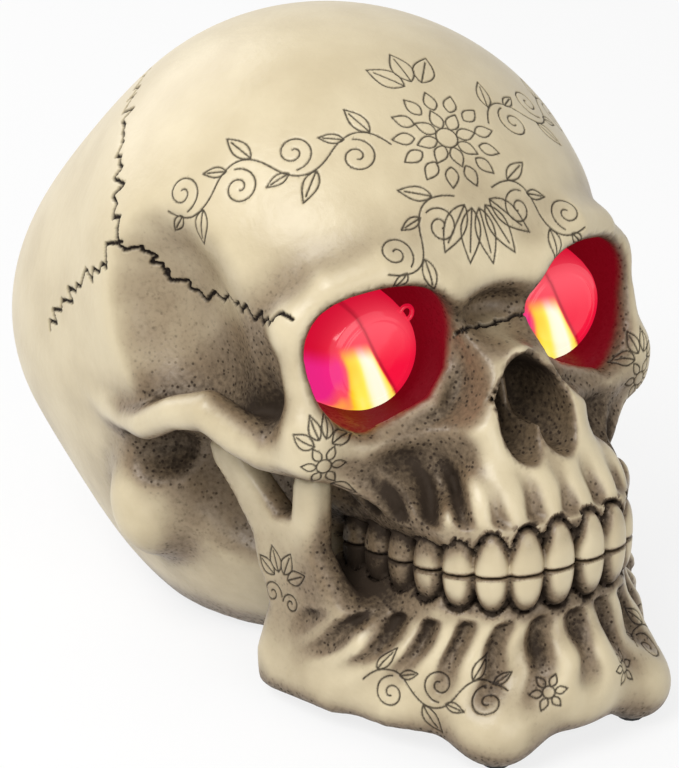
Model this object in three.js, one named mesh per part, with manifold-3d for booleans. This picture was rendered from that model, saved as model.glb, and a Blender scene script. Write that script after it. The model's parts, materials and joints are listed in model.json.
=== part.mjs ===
// Skull decoration with lit red eyes: a hollow cast cranium with its upper teeth, a cast jaw bonded
// to it on two dowels, an eye unit in each orbit, and a base unit with cells, board and switch.
// Millimetres, x to the side, y to the back of the head, z up, with the table at z = 0.
import * as THREE from 'three';
import { mergeVertices } from 'three/addons/utils/BufferGeometryUtils.js';
import { SimplifyModifier } from 'three/addons/modifiers/SimplifyModifier.js';
import Module from 'manifold-3d';

const wasm = await Module();
wasm.setup();

// Fits
const GAP = 0.3; // between pieces that seat on each other
const BOND = 1.2; // between the jaw's side plates and the cranium
const SLIDE = 0.3; // running clearance of the door and the switch slider
const BITE_GAP = 0.6; // between the upper and the lower teeth
const OVERCUT = 1; // how far a cut runs on past a face

// Castings
const WALL = 7; // resin wall of the hollow cranium
const SLAB = 14; // base slab that carries the cover
const PAD_HEIGHT = 2; // the castings stand this far above the table
const CAVITY_FRONT = -38; // the hollow stops here, behind the face

// Sampling grids: their ends and steps, fine on the face and coarse on the smooth vault
const GRID = { side: 82, front: -122, back: 124, floor: -24, top: 178 };
const FACE_TOP = 126; // the vault above it is sampled coarsely
const JAW_BACK = 4;
const JAW_TOP = 90;
const FACE_STEP = 3.4;
const VAULT_STEP = 9;
const JAW_STEP = 3.4;
const HOLLOW_STEP = 9;
// Points kept of each sampled surface, most of them where it bends
const CRANIUM_POINTS = 2060;
const JAW_POINTS = 600;
const HOLLOW_POINTS = 120;
const SETTLE = 0.4; // how far a sampled point may move onto the surface, as a share of its cell
const SETTLE_PASSES = 3;
const PROBE = 0.2; // distance over which a slope is read
const LEAST_SLOPE = 0.3;
const BARELY_INSIDE = -0.05;
const WELD = 1e-4; // corners closer than this are one

// Vault: overlapping ellipsoids, each with its centre, half sizes, tilt and softness of its joint
const VAULT = [
  { at: [0, 8.9, 90.2], half: [70.2, 75.4, 76.7], tilt: 0.25, soft: 1 },
  { at: [0, -5.9, 105.2], half: [64, 50.7, 54], tilt: 0, soft: 22 },
  { at: [0, 53.2, 69.1], half: [65.5, 63.5, 58.3], tilt: 0, soft: 25 },
  { at: [0, 19, 37.5], half: [56.6, 65.2, 53.3], tilt: 0, soft: 18 },
  { at: [0, -36, 119], half: [48, 29, 25], tilt: 0, soft: 14 },
];
// Hollows and swellings of the sides: temple, the deep window over the cheek arch, the space behind
// the jaw's side plate, mastoid and ear
const TEMPLE = { at: [71, -27, 101], half: [18, 22, 34], tilt: 0.5, soft: 7 };
const WINDOW = { at: [64, -32, 91], half: [13, 14, 16], tilt: 0, soft: 4 };
const JAW_SPACE = { at: [66, -30, 52], half: [36, 22, 26], tilt: 0.35, soft: 5 };
const MASTOID = { at: [56, 4, 43], half: [14, 12, 18], tilt: 0, soft: 5 };
const EAR = { at: [66, -7, 60], half: [15, 8, 8], tilt: 0, soft: 3 };
const CHEEK_HOLLOW = { at: [30, -83, 75], half: [9, 8, 9], tilt: 0, soft: 6 };
// The face falls back beside the nose and above its bridge
const NOSE_SIDE = { at: [22.5, -81, 99], half: [12, 21, 13], tilt: 0, soft: 4 };
const NASION = { at: [0, -74.5, 108], half: [10, 11, 5.5], tilt: 0, soft: 6 };
// Face masses
const FACE = { at: [0, -44, 94], half: [45, 26, 32], tilt: 0, soft: 11 };
const MAXILLA = { at: [0, -66, 78], half: [26, 25, 26], tilt: 0, soft: 10 };
const ZYGOMA = { at: [49.5, -60.5, 80], half: [8, 7, 9.5], tilt: 0, soft: 6 };

// Bony ridges as lines of [x, y, z, radius]
const BROW = [
  [4, -62.5, 113, 5.5], [15, -65.5, 115, 5.5], [30, -62.5, 121.5, 4.5], [42, -58.5, 118, 4.2],
  [50, -54, 108, 4.2],
];
const ORBIT_SIDE = [[50, -54.5, 109, 4.2], [51, -57.5, 98, 4.2], [50.5, -60.5, 87, 4.8]];
const ORBIT_FLOOR = [
  [50, -61, 82, 4.6], [39, -67, 79, 4.2], [26, -70.5, 81, 4.2], [15, -70, 89.5, 4], [9, -64.5, 99, 4],
  [7.5, -61.5, 106, 4.5],
];
const NASAL_BONE = [[0, -62, 106, 4.5], [0, -80, 100.5, 3.4]];
const NOSE_RIM = [
  [7, -64, 104, 4.2], [10.5, -77, 95, 3.8], [13.5, -84.5, 84, 3.6], [11, -89, 75, 3.6],
  [4, -91.5, 73, 3.2],
];
const CHEEK_CREST = [[46, -62, 74, 5], [38, -68, 70, 5], [30, -76, 66, 5]];
const CHEEK_ARCH = [
  [50, -58, 76.5, 7], [56, -50, 77, 6.4], [61, -45.5, 80, 5.8], [66, -39, 85, 5.4], [69, -27, 81, 4.4],
  [69.5, -14, 73.5, 4.4], [67.5, -3, 70, 4.4], [64, 10, 69.5, 5], [60, 24, 76, 6],
];
const RIDGE_SOFT = 6;
const BROW_SOFT = 8;
const ARCH_SOFT = 4;

// Gum walls along the dental arch, as rows of
// [share of the arch from its middle, inset, middle height, half height, half thickness]
const GUM_UPPER = [
  [1, 5, 62, 11, 6.5], [0.76, 4.6, 64, 10.5, 7], [0.5, 5.2, 65.5, 10, 7], [0.28, 8.2, 66.5, 10, 7],
  [0, 8.4, 67, 10, 7],
];
const GUM_LOWER = [
  [1, 4, 30, 9.5, 6], [0.74, 4.4, 31.5, 9.5, 6.5], [0.5, 4.6, 33, 10, 6.5], [0.27, 7, 34, 10.5, 6.5],
  [0, 7, 34.5, 10.5, 6.5],
];
const GUM_SLOPE = 0.55; // the upper gum leans back by this much per millimetre of height
const GUM_FOOT = 63; // height where the lean is zero
const GUM_SOFT = 5;
// Jaw body as plan points of [x, y, middle height, half height, half thickness]
const JAW_BODY = [
  [48, -42, 20, 16, 5], [45, -60, 20, 14, 6], [38, -80, 20, 14, 6.5], [27, -98, 20.5, 13, 7.5],
  [12, -106, 21, 12.5, 7], [0, -107, 21, 12, 7],
];
// Shelf between the jaw body and the lower gum, in the same form
const JAW_SHELF = [[40, -44, 24, 8, 7], [37, -62, 24, 8, 8], [31, -82, 24, 8, 8], [20, -95, 24, 8, 8]];
const JAW_TAPER = 0.008; // the jaw narrows upwards by this share per millimetre
const JAW_TAPER_FOOT = 12;
const JAW_MIDDLE = -50;
const CHIN = { at: [0, -107.5, 20], half: [16, 8, 12], tilt: 0, soft: 8 };
const CHIN_CORNER = { at: [22, -104, 10], half: [10, 10, 9.5], tilt: 0, soft: 8 };
// Side plate of the jaw: outline in y and z, with the notch between its two upper points
const RAMUS = [
  [-46, 7], [-66, 7], [-80, 26], [-70, 37], [-63, 48], [-63, 66], [-57, 74], [-51, 66], [-50, 56], [-46, 55],
  [-37, 62], [-29, 69], [-20, 68], [-22, 62], [-30, 54], [-36, 46], [-38, 38], [-43, 28], [-41, 14],
];
const RAMUS_SIDE = 48;
const RAMUS_SPLAY = 0.2;
const RAMUS_PIVOT = -42;
const RAMUS_HALF = 4;
const RAMUS_ROUND = 3;
const RAMUS_SOFT = 8;

// Orbit: a rounded bowl with its rim centre, half sizes, depth, roll and squareness
const ORBIT = {
  x: 30.5, y: -66, z: 100.5, halfWidth: 19.5, halfHeight: 18.2, depth: 42, roll: 0.18, power: 2.5, soft: 3,
};
// Nose: two lobes below a round top, and the septum plate between them
const NOSE_LOBE = { at: [5.6, -86, 85], half: [5.6, 22, 9], tilt: -0.15, soft: 4 };
const NOSE_TOP = { at: [0, -85, 93], half: [6, 20, 7.5], tilt: 0.25, soft: 1.5 };
const SEPTUM = [[-87, 74], [-64, 70], [-64, 96], [-73, 95], [-77, 82]];
const SEPTUM_THICK = 2.2;

// Teeth on a superelliptic arch, the same count above and below
const ARCH = { half: 33, depth: 60, back: -48, power: 3 };
const ARCH_SAMPLES = 2000;
const TEETH_PER_SIDE = 8;
const BITE_HEIGHT = 52; // of the biting edge at the front teeth
const BITE_SLOPE = -0.14;
const TOOTH_INSET = 4.2;
const TOOTH_DEPTH = 4.4;
const TOOTH_FILL = 0.47; // half width as a share of the pitch
const TOOTH_POWER = 2.6;
const UPPER_FRONT = 15;
const LOWER_FRONT = 17;
const TOOTH_BACK = 14;
const TOOTH_SIDES = 6;
const TOOTH_RINGS = 6;

// Dowels that hold the jaw to the cranium, in the tooth of this number on each side
const DOWEL_TOOTH_NUMBER = 7;
const DOWEL_RADIUS = 2;
const DOWEL_REACH = 13; // above and below the bite

// Eye unit: axis place, lens cup, lamp and its bush. Depths run inwards from the orbit rim
const EYE_X = 29.5;
const EYE_Z = 97.5;
const LENS_RADIUS = 16.5;
const LENS_FRONT_RADIUS = 14;
const LENS_DEPTH = 20;
const LENS_CROWN = 3.5;
const LENS_COLLAR = 5; // straight length at the back
const LENS_WALL = 2.6;
const LENS_SEAT = 25;
const LENS_EAR = { radius: 1.9, tube: 0.7, back: 1.6, turnDegrees: -40, steps: 8, sides: 5 };
const LAMP_RADIUS = 2.5;
const LAMP_LENGTH = 8.7;
const LAMP_REACH = 5.5; // in front of the bush
const BUSH_RADIUS = 5;
const BUSH_FLANGE_RADIUS = 7;
const BUSH_FLANGE = 2;
const BUSH_TAIL = 4; // beyond the wall, inside the hollow
const BUSH_SEAT_DEPTH = 0.5; // the seat is cut this far short of the bowl's bottom
const LEAD_BORE = 28; // how far the bush's bore runs on for the lead
const CABLE_RADIUS = 1.1;
const CABLE_STEPS = 12;
// Lead from the lamp: straight back, a bend down through the hollow, and upright into its plug
const LEAD = {
  run: 16, dip: 2, bendRun: 26, bendDip: 22, bendIn: 3, low: 52, lowShare: 0.55, ahead: 2, rise: 10,
};

// Base unit: cover, door, cells and contacts
const COVER_Y = 14;
const COVER_WIDTH = 56;
const COVER_LENGTH = 74;
const COVER_CORNER = 18;
const COVER_THICK = 4;
const COVER_INSET = 0.4; // below the slab's underside
const HATCH_WIDTH = 40;
const HATCH_LENGTH = 63;
const HATCH_CORNER = 2;
const CELL_RADIUS = 5.25;
const CELL_LENGTH = 43.7;
const CELL_NUB = 0.8;
const CELL_NUB_RADIUS = 1.9;
const CELL_PITCH = 11;
const CELL_PLAY = 0.75;
const WELL_X = -6;
const WELL_WALL = 1.6;
const SPRING_LENGTH = 5;
const SPRING_RADIUS = 3.4;
const SPRING_TIP_RADIUS = 2.2;
const SPRING_WIRE = 0.45;
const SPRING_TURNS = 3;
const PLATE_THICK = 0.6;
const PLATE_SIZE = 8.6;
const DOOR_TRAVEL = 6;
const DOOR_THICK = 2.2;
const DOOR_INSET = 0.2; // from the cover's outer face
const DOOR_LEDGE = 1; // of the cover round the well's mouth
const DOOR_END_LEDGE = 1.5;
const TONGUE_REACH = 1.2;
const TONGUE_THICK = 1.1;
const TONGUE_LENGTH = 8;
const TONGUE_PLACE = 18; // of the tongues' middles from the door's middle
const GRIP = { count: 3, pitch: 3, width: 1.2, depth: 0.6, fromEnd: 8 };

// Screws
const COVER_SCREW = { x: 24, y: 12, head: 2.6, headHeight: 1.6, shank: 1.4, length: 10.5, sides: 8 };
const BOARD_SCREW = { head: 1.7, headHeight: 1.2, shank: 0.9, length: 4.5, sides: 8, fromMiddle: 16 };
const SWITCH_SCREW = { head: 1.6, headHeight: 1.2, shank: 0.8, length: 4.2, sides: 8, fromMiddle: 8.6 };

// Board on posts over the well
const POST_RADIUS = 2.6;
const POST_HEIGHT = 2;
const BOARD_WIDTH = 21;
const BOARD_LENGTH = 40;
const BOARD_THICK = 1.6;
const RESISTOR = { radius: 1.15, waist: 0.9, length: 6.5, cap: 1.8, shoulder: 0.4 };
const PLUG = { width: 5, length: 6, height: 4.2, fromMiddle: 5.5, ahead: 8 };

// Slide switch
const SWITCH_X = 14.5;
const SWITCH_WIDTH = 6.6;
const SWITCH_LENGTH = 13;
const SWITCH_HEIGHT = 5;
const SWITCH_EAR = 1.2;
const SWITCH_EAR_LENGTH = 21;
const SLIDER_WIDTH = 4;
const SLIDER_LENGTH = 5;
const SLIDER_INSET = 0.5;
const SLIDER_ENTRY = 2.8; // into the switch body
const SLIDER_TRAVEL = 3;
const SLIDER_GROOVES = 3;
const GROOVE = 0.5;

// Foot pads: two under the chin corners, two under the back of the slab
const PAD_RADIUS = 4;
const PAD_CHAMFER = 0.6;
const PAD_THICK = PAD_HEIGHT - GAP;
const PAD_PLACES = [[CHIN_CORNER.at[0], CHIN_CORNER.at[1]], [20, 57]];

// Facets of round pieces
const LENS_SIDES = 18;
const CELL_SIDES = 16;
const BOSS_SIDES = 14;
const PIN_SIDES = 12;
const HOLE_SIDES = 10;
const CABLE_SIDES = 8;
const WIRE_SIDES = 5;
const WIRE_STEPS = 8; // in each turn of a spring
const DOME_STEPS = 3;
const CORNER_STEPS = 5;

// Materials
const material = (color, roughness, metalness = 0) =>
  new THREE.MeshStandardMaterial({ color, roughness, metalness });
const RESIN = material(0xd9c9a0, 0.5);
const RED_PLASTIC = material(0xc4101c, 0.15);
const CLEAR_LAMP = material(0xe8403a, 0.2);
const BLACK_PLASTIC = material(0x1c1b1a, 0.55);
const GREY_PLASTIC = material(0x3a3936, 0.5);
const STEEL = material(0xb9bcc0, 0.35, 1);
const NICKEL = material(0xc9c7be, 0.3, 1);
const CELL_WRAP = material(0x2f5d46, 0.35);
const BOARD_GREEN = material(0x1f5b35, 0.45);
const RESISTOR_TAN = material(0xc9a878, 0.5);
const PLUG_WHITE = material(0xe6e1d3, 0.5);
const CABLE_RED = material(0xa01818, 0.5);
const CABLE_BLACK = material(0x171717, 0.5);
const RUBBER = material(0x2a2928, 0.9);

// Field helpers: a field is negative inside
const clamp = (v, lo, hi) => Math.min(hi, Math.max(lo, v));
const mix = THREE.MathUtils.lerp;

function blend(a, b, soft) {
  const h = Math.max(soft - Math.abs(a - b), 0) / soft;
  return Math.min(a, b) - (h * h * soft) / 4;
}
const carve = (a, b, soft) => -blend(-a, b, soft);

function ellipsoid(x, y, z, { at, half, tilt }) {
  const dx = x - at[0];
  const c = Math.cos(tilt);
  const s = Math.sin(tilt);
  const dy = c * (y - at[1]) - s * (z - at[2]);
  const dz = s * (y - at[1]) + c * (z - at[2]);
  const k0 = Math.hypot(dx / half[0], dy / half[1], dz / half[2]);
  const k1 = Math.hypot(dx / half[0] ** 2, dy / half[1] ** 2, dz / half[2] ** 2);
  return k1 < 1e-9 ? -Math.min(...half) : (k0 * (k0 - 1)) / k1;
}

function ridge(x, y, z, points) {
  let best = Infinity;
  for (let i = 0; i + 1 < points.length; i++) {
    const a = points[i];
    const b = points[i + 1];
    const e = [b[0] - a[0], b[1] - a[1], b[2] - a[2]];
    const p = [x - a[0], y - a[1], z - a[2]];
    const along = p[0] * e[0] + p[1] * e[1] + p[2] * e[2];
    const t = clamp(along / (e[0] ** 2 + e[1] ** 2 + e[2] ** 2), 0, 1);
    const d = Math.hypot(p[0] - e[0] * t, p[1] - e[1] * t, p[2] - e[2] * t) - mix(a[3], b[3], t);
    best = Math.min(best, d);
  }
  return best;
}

function uprightWall(x, y, z, points) {
  let best = Infinity;
  for (let i = 0; i + 1 < points.length; i++) {
    const a = points[i];
    const b = points[i + 1];
    const ex = b[0] - a[0];
    const ey = b[1] - a[1];
    const t = clamp(((x - a[0]) * ex + (y - a[1]) * ey) / (ex * ex + ey * ey), 0, 1);
    const off = Math.hypot(x - a[0] - ex * t, y - a[1] - ey * t);
    const rise = z - mix(a[2], b[2], t);
    const tall = mix(a[3], b[3], t);
    const thick = mix(a[4], b[4], t);
    const k0 = Math.hypot(off / thick, rise / tall);
    const k1 = Math.hypot(off / thick ** 2, rise / tall ** 2);
    best = Math.min(best, k1 < 1e-9 ? -thick : (k0 * (k0 - 1)) / k1);
  }
  return best;
}

// Plate with an outline in y and z, centred at a side and rounded at its edges
function sidePlate(x, y, z, outline, side, half, round) {
  let d = Infinity;
  let inside = false;
  outline.forEach((a, i) => {
    const b = outline[(i + outline.length - 1) % outline.length];
    const ey = b[0] - a[0];
    const ez = b[1] - a[1];
    const t = clamp(((y - a[0]) * ey + (z - a[1]) * ez) / (ey * ey + ez * ez), 0, 1);
    d = Math.min(d, Math.hypot(y - a[0] - ey * t, z - a[1] - ez * t));
    if (a[1] > z !== b[1] > z && y < (ey * (z - a[1])) / ez + a[0]) inside = !inside;
  });
  const q = (inside ? -d : d) + round;
  const w = Math.abs(x - side) - half + round;
  return Math.hypot(Math.max(q, 0), Math.max(w, 0)) + Math.min(Math.max(q, w), 0) - round;
}

function orbitBowl(x, y, z) {
  const dx = x - ORBIT.x;
  const dz = z - ORBIT.z;
  const c = Math.cos(ORBIT.roll);
  const s = Math.sin(ORBIT.roll);
  const u = Math.abs((c * dx - s * dz) / ORBIT.halfWidth) ** ORBIT.power;
  const v = Math.abs((s * dx + c * dz) / ORBIT.halfHeight) ** ORBIT.power;
  const w = Math.abs((y - ORBIT.y) / ORBIT.depth) ** ORBIT.power;
  return ((u + v + w) ** (1 / ORBIT.power) - 1) * Math.min(ORBIT.halfWidth, ORBIT.halfHeight);
}

// Dental arch: points and their arc lengths from the middle
const archPath = [];
for (let i = 0, length = 0; i <= ARCH_SAMPLES; i++) {
  const turn = (Math.PI / 2) * (i / ARCH_SAMPLES);
  const x = ARCH.half * Math.sin(turn) ** (2 / ARCH.power);
  const y = ARCH.back - ARCH.depth * Math.max(Math.cos(turn), 0) ** (2 / ARCH.power);
  if (i) length += Math.hypot(x - archPath[i - 1].x, y - archPath[i - 1].y);
  archPath.push({ x, y, length });
}
const archLength = archPath.at(-1).length;
const archFront = ARCH.back - ARCH.depth;
const toothPitch = archLength / TEETH_PER_SIDE;
const biteHeight = (y) => BITE_HEIGHT + BITE_SLOPE * (y - archFront);

// Place at an arc length, set in from the arch, with its direction outwards
function onArch(length, inset) {
  const i = clamp(archPath.findIndex((p) => p.length >= length), 0, ARCH_SAMPLES - 1);
  const { x, y } = archPath[i];
  const next = archPath[i + 1];
  const out = new THREE.Vector2(next.y - y, x - next.x).normalize();
  return { x: x - out.x * inset, y: y - out.y * inset, out, bite: biteHeight(y) };
}
const toothPlaces = [...Array(TEETH_PER_SIDE).keys()].map((number) => ({
  ...onArch((number + 0.5) * toothPitch, TOOTH_INSET),
  back: number / (TEETH_PER_SIDE - 1),
}));
const gumLine = (rows) => rows.map(([share, inset, ...section]) => {
  const { x, y } = onArch(share * archLength, inset);
  return [x, y, ...section];
});
const upperGum = gumLine(GUM_UPPER);
const lowerGum = gumLine(GUM_LOWER);

// The cranium without its teeth
function craniumField(x, y, z) {
  const side = Math.abs(x);
  let d = ellipsoid(x, y, z, VAULT[0]);
  for (const form of VAULT.slice(1)) d = blend(d, ellipsoid(x, y, z, form), form.soft);
  for (const space of [TEMPLE, WINDOW, JAW_SPACE]) d = carve(d, ellipsoid(side, y, z, space), space.soft);
  let face = ellipsoid(side, y, z, FACE);
  face = blend(face, ellipsoid(side, y, z, MAXILLA), MAXILLA.soft);
  face = blend(face, uprightWall(side, y - GUM_SLOPE * (z - GUM_FOOT), z, upperGum), RIDGE_SOFT);
  face = blend(face, ridge(side, y, z, BROW), BROW_SOFT);
  for (const line of [ORBIT_SIDE, ORBIT_FLOOR, NASAL_BONE, NOSE_RIM, CHEEK_CREST]) {
    face = blend(face, ridge(side, y, z, line), RIDGE_SOFT);
  }
  face = blend(face, ellipsoid(side, y, z, ZYGOMA), ZYGOMA.soft);
  d = blend(d, face, FACE.soft);
  d = blend(d, ridge(side, y, z, CHEEK_ARCH), ARCH_SOFT);
  d = blend(d, ellipsoid(side, y, z, MASTOID), MASTOID.soft);
  for (const space of [EAR, CHEEK_HOLLOW, NOSE_SIDE, NASION]) {
    d = carve(d, ellipsoid(side, y, z, space), space.soft);
  }
  d = carve(d, orbitBowl(side, y, z), ORBIT.soft);
  const nose = blend(ellipsoid(side, y, z, NOSE_LOBE), ellipsoid(side, y, z, NOSE_TOP), NOSE_LOBE.soft);
  return carve(d, nose, NOSE_TOP.soft);
}

// The jaw without its teeth
function jawField(x, y, z) {
  const side = Math.abs(x);
  const q = 1 + JAW_TAPER * (z - JAW_TAPER_FOOT);
  let d = uprightWall(side * q, (y - JAW_MIDDLE) * q + JAW_MIDDLE, z, JAW_BODY);
  for (const wall of [JAW_SHELF, lowerGum]) d = blend(d, uprightWall(side, y, z, wall), GUM_SOFT);
  d = blend(d, ellipsoid(side, y, z, CHIN), CHIN.soft);
  d = blend(d, ellipsoid(side, y, z, CHIN_CORNER), CHIN_CORNER.soft);
  const splayed = side - RAMUS_SPLAY * (y - RAMUS_PIVOT);
  return blend(d, sidePlate(splayed, y, z, RAMUS, RAMUS_SIDE, RAMUS_HALF, RAMUS_ROUND), RAMUS_SOFT);
}

// Grid lines from stretches of [start, step], up to an end
function gridLines(stretches, end) {
  const lines = [];
  stretches.forEach(([start, step], i) => {
    const stop = i + 1 < stretches.length ? stretches[i + 1][0] : end;
    const count = Math.max(1, Math.round((stop - start) / step));
    for (let k = 0; k < count; k++) lines.push(mix(start, stop, k / count));
  });
  lines.push(end);
  return lines;
}
const mirrored = (lines) => [...lines.slice(1).reverse().map((v) => -v), ...lines];

// Every [i, j, k] of a grid
function* gridPlaces([ni, nj, nk]) {
  for (let i = 0; i < ni; i++) {
    for (let j = 0; j < nj; j++) {
      for (let k = 0; k < nk; k++) yield [i, j, k];
    }
  }
}
const STEPS = [[1, 0, 0], [0, 1, 0], [0, 0, 1]];
const plus = (a, b) => [a[0] + b[0], a[1] + b[1], a[2] + b[2]];
const minus = (a, b) => [a[0] - b[0], a[1] - b[1], a[2] - b[2]];
const CELL_EDGES = STEPS.flatMap((step, axis) => {
  const others = STEPS.filter((_, n) => n !== axis);
  const starts = [[0, 0, 0], others[0], others[1], plus(...others)];
  return starts.map((start) => [start, plus(start, step)]);
});

// Joins inside corners that only meet across a cell face's diagonal, so that the mesh stays closed
function fillDiagonals(value, at, counts) {
  let changed = true;
  while (changed) {
    changed = false;
    for (const here of gridPlaces(counts)) {
      for (const [a, b] of [[STEPS[0], STEPS[1]], [STEPS[1], STEPS[2]], [STEPS[2], STEPS[0]]]) {
        const far = plus(plus(here, a), b);
        if (far.some((n, axis) => n >= counts[axis])) continue;
        const ring = [here, plus(here, a), far, plus(here, b)].map((place) => at(...place));
        const inside = ring.map((n) => value[n] < 0);
        if (inside[0] !== inside[2] || inside[1] !== inside[3] || inside[0] === inside[1]) continue;
        const outer = inside[0] ? [ring[1], ring[3]] : [ring[0], ring[2]];
        value[value[outer[0]] < value[outer[1]] ? outer[0] : outer[1]] = BARELY_INSIDE;
        changed = true;
      }
    }
  }
}

// Moves a point onto the field's zero level, by a limited distance
function settled(field, start, limit) {
  const point = new THREE.Vector3(...start);
  const slope = new THREE.Vector3();
  for (let pass = 0; pass < SETTLE_PASSES; pass++) {
    const { x, y, z } = point;
    const d = field(x, y, z);
    slope.set(field(x + PROBE, y, z), field(x, y + PROBE, z), field(x, y, z + PROBE));
    slope.subScalar(d).divideScalar(PROBE);
    point.addScaledVector(slope, -d / Math.max(slope.lengthSq(), LEAST_SLOPE));
  }
  const move = point.sub(new THREE.Vector3(...start)).clampLength(0, limit);
  return start.map((v, n) => v + move.getComponent(n));
}

// Closed mesh of a field's zero level: one vertex in each crossed cell, one quad on each crossed edge
function surfaceNet(field, X, Y, Z) {
  const counts = [X.length, Y.length, Z.length];
  const at = (i, j, k) => (i * counts[1] + j) * counts[2] + k;
  const value = new Float64Array(counts[0] * counts[1] * counts[2]);
  for (const [i, j, k] of gridPlaces(counts)) value[at(i, j, k)] = field(X[i], Y[j], Z[k]);
  fillDiagonals(value, at, counts);
  const cells = counts.map((n) => n - 1);
  const positions = [];
  const vertex = new Int32Array(value.length);
  for (const here of gridPlaces(cells)) {
    const [i, j, k] = here;
    const sum = [0, 0, 0];
    let crossings = 0;
    for (const [from, to] of CELL_EDGES) {
      const a = plus(here, from);
      const b = plus(here, to);
      const fa = value[at(...a)];
      const fb = value[at(...b)];
      if (fa < 0 === fb < 0) continue;
      const t = fa / (fa - fb);
      sum[0] += mix(X[a[0]], X[b[0]], t);
      sum[1] += mix(Y[a[1]], Y[b[1]], t);
      sum[2] += mix(Z[a[2]], Z[b[2]], t);
      crossings++;
    }
    if (!crossings) continue;
    vertex[at(i, j, k)] = positions.length / 3;
    const size = Math.min(X[i + 1] - X[i], Y[j + 1] - Y[j], Z[k + 1] - Z[k]);
    positions.push(...settled(field, sum.map((v) => v / crossings), size * SETTLE));
  }
  const index = [];
  for (const here of gridPlaces(cells)) {
    const inside = value[at(...here)] < 0;
    STEPS.forEach((step, axis) => {
      const [n, m] = [(axis + 1) % 3, (axis + 2) % 3];
      if (here[n] === 0 || here[m] === 0 || inside === value[at(...plus(here, step))] < 0) return;
      const [u, v] = [minus(here, STEPS[n]), minus(here, STEPS[m])];
      const ring = [minus(u, STEPS[m]), v, here, u].map((place) => vertex[at(...place)]);
      const [a, b, c, d] = inside ? ring : ring.reverse();
      index.push(a, b, c, a, c, d);
    });
  }
  const geometry = new THREE.BufferGeometry();
  geometry.setAttribute('position', new THREE.Float32BufferAttribute(positions, 3));
  geometry.setIndex(index);
  return geometry;
}

// Closed geometry to a solid, with shared vertices merged and faces turned outwards
function solid(geometry) {
  const bare = geometry.clone();
  bare.deleteAttribute('normal');
  bare.deleteAttribute('uv');
  const merged = mergeVertices(bare, WELD);
  const p = merged.getAttribute('position');
  const triangles = [];
  let volume = 0;
  const [a, b, c] = [new THREE.Vector3(), new THREE.Vector3(), new THREE.Vector3()];
  for (let i = 0; i < merged.index.count; i += 3) {
    const t = [0, 1, 2].map((n) => merged.index.getX(i + n));
    if (t[0] === t[1] || t[1] === t[2] || t[2] === t[0]) continue;
    triangles.push(t);
    [a, b, c].forEach((corner, n) => corner.fromBufferAttribute(p, t[n]));
    volume += a.dot(b.cross(c));
  }
  const turned = volume < 0 ? triangles.map((t) => t.reverse()) : triangles;
  return new wasm.Manifold(new wasm.Mesh({
    numProp: 3,
    vertProperties: Float32Array.from(p.array),
    triVerts: Uint32Array.from(turned.flat()),
  }));
}

// Solid of a field, sampled on grid lines and thinned to a count of points
async function sculpted(field, lines, points) {
  const net = surfaceNet(field, ...lines);
  const surplus = Math.max(0, net.getAttribute('position').count - points);
  return solid(await new SimplifyModifier().modify(net, surplus));
}
const joined = (solids) => solids.reduce((sum, one) => sum.add(one));
const cut = (body, tools) => tools.reduce((rest, one) => rest.subtract(one), body);

function named(name, shape, finish) {
  const mesh = shape.getMesh();
  const geometry = new THREE.BufferGeometry();
  geometry.setAttribute('position', new THREE.Float32BufferAttribute(mesh.vertProperties, 3));
  geometry.setIndex([...mesh.triVerts]);
  geometry.computeVertexNormals();
  const node = new THREE.Mesh(geometry, finish);
  node.name = name;
  return node;
}

// Plain shapes
function box(x0, x1, y0, y1, z0, z1) {
  const geometry = new THREE.BoxGeometry(x1 - x0, y1 - y0, z1 - z0);
  return solid(geometry.translate((x0 + x1) / 2, (y0 + y1) / 2, (z0 + z1) / 2));
}
const block = (x, y, width, length, z0, z1) =>
  box(x - width / 2, x + width / 2, y - length / 2, y + length / 2, z0, z1);

// Turned piece with profile points of [radius, height], about the y axis or stood up along z
const lathe = (profile, sides) => new THREE.LatheGeometry(profile.map((p) => new THREE.Vector2(...p)), sides);
const turnedY = (profile, sides) => solid(lathe(profile, sides));
const turnedZ = (profile, sides) => solid(lathe(profile, sides).rotateX(Math.PI / 2));
const rod = (radius, from, to) => [[0, from], [radius, from], [radius, to], [0, to]];
const upright = ([x, y], radius, from, to, sides) => turnedZ(rod(radius, from, to), sides).translate(x, y, 0);
// Quarter ellipse from the axis out to a radius
const dome = (radius, front, crown) => [...Array(DOME_STEPS + 1).keys()].map((n) => {
  const turn = (n / DOME_STEPS) * (Math.PI / 2);
  return [radius * Math.sin(turn), front + crown * (1 - Math.cos(turn))];
});

function roundedSlab(width, length, corner, z0, z1) {
  const shape = new THREE.Shape();
  const w = width / 2 - corner;
  const l = length / 2 - corner;
  shape.absarc(w, l, corner, 0, Math.PI / 2);
  shape.absarc(-w, l, corner, Math.PI / 2, Math.PI);
  shape.absarc(-w, -l, corner, Math.PI, Math.PI * 1.5);
  shape.absarc(w, -l, corner, Math.PI * 1.5, Math.PI * 2);
  const options = { depth: z1 - z0, bevelEnabled: false, curveSegments: CORNER_STEPS };
  return solid(new THREE.ExtrudeGeometry(shape, options).translate(0, 0, z0));
}

function swept(curve, radius, steps, sides) {
  const section = new THREE.Shape();
  for (let i = 0; i < sides; i++) {
    const turn = (i / sides) * Math.PI * 2;
    section[i ? 'lineTo' : 'moveTo'](radius * Math.cos(turn), radius * Math.sin(turn));
  }
  return solid(new THREE.ExtrudeGeometry(section, { steps, bevelEnabled: false, extrudePath: curve }));
}
const cable = (points) => {
  const route = new THREE.CatmullRomCurve3(points.map((p) => new THREE.Vector3(...p)));
  return swept(route, CABLE_RADIUS, CABLE_STEPS, CABLE_SIDES);
};

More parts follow.
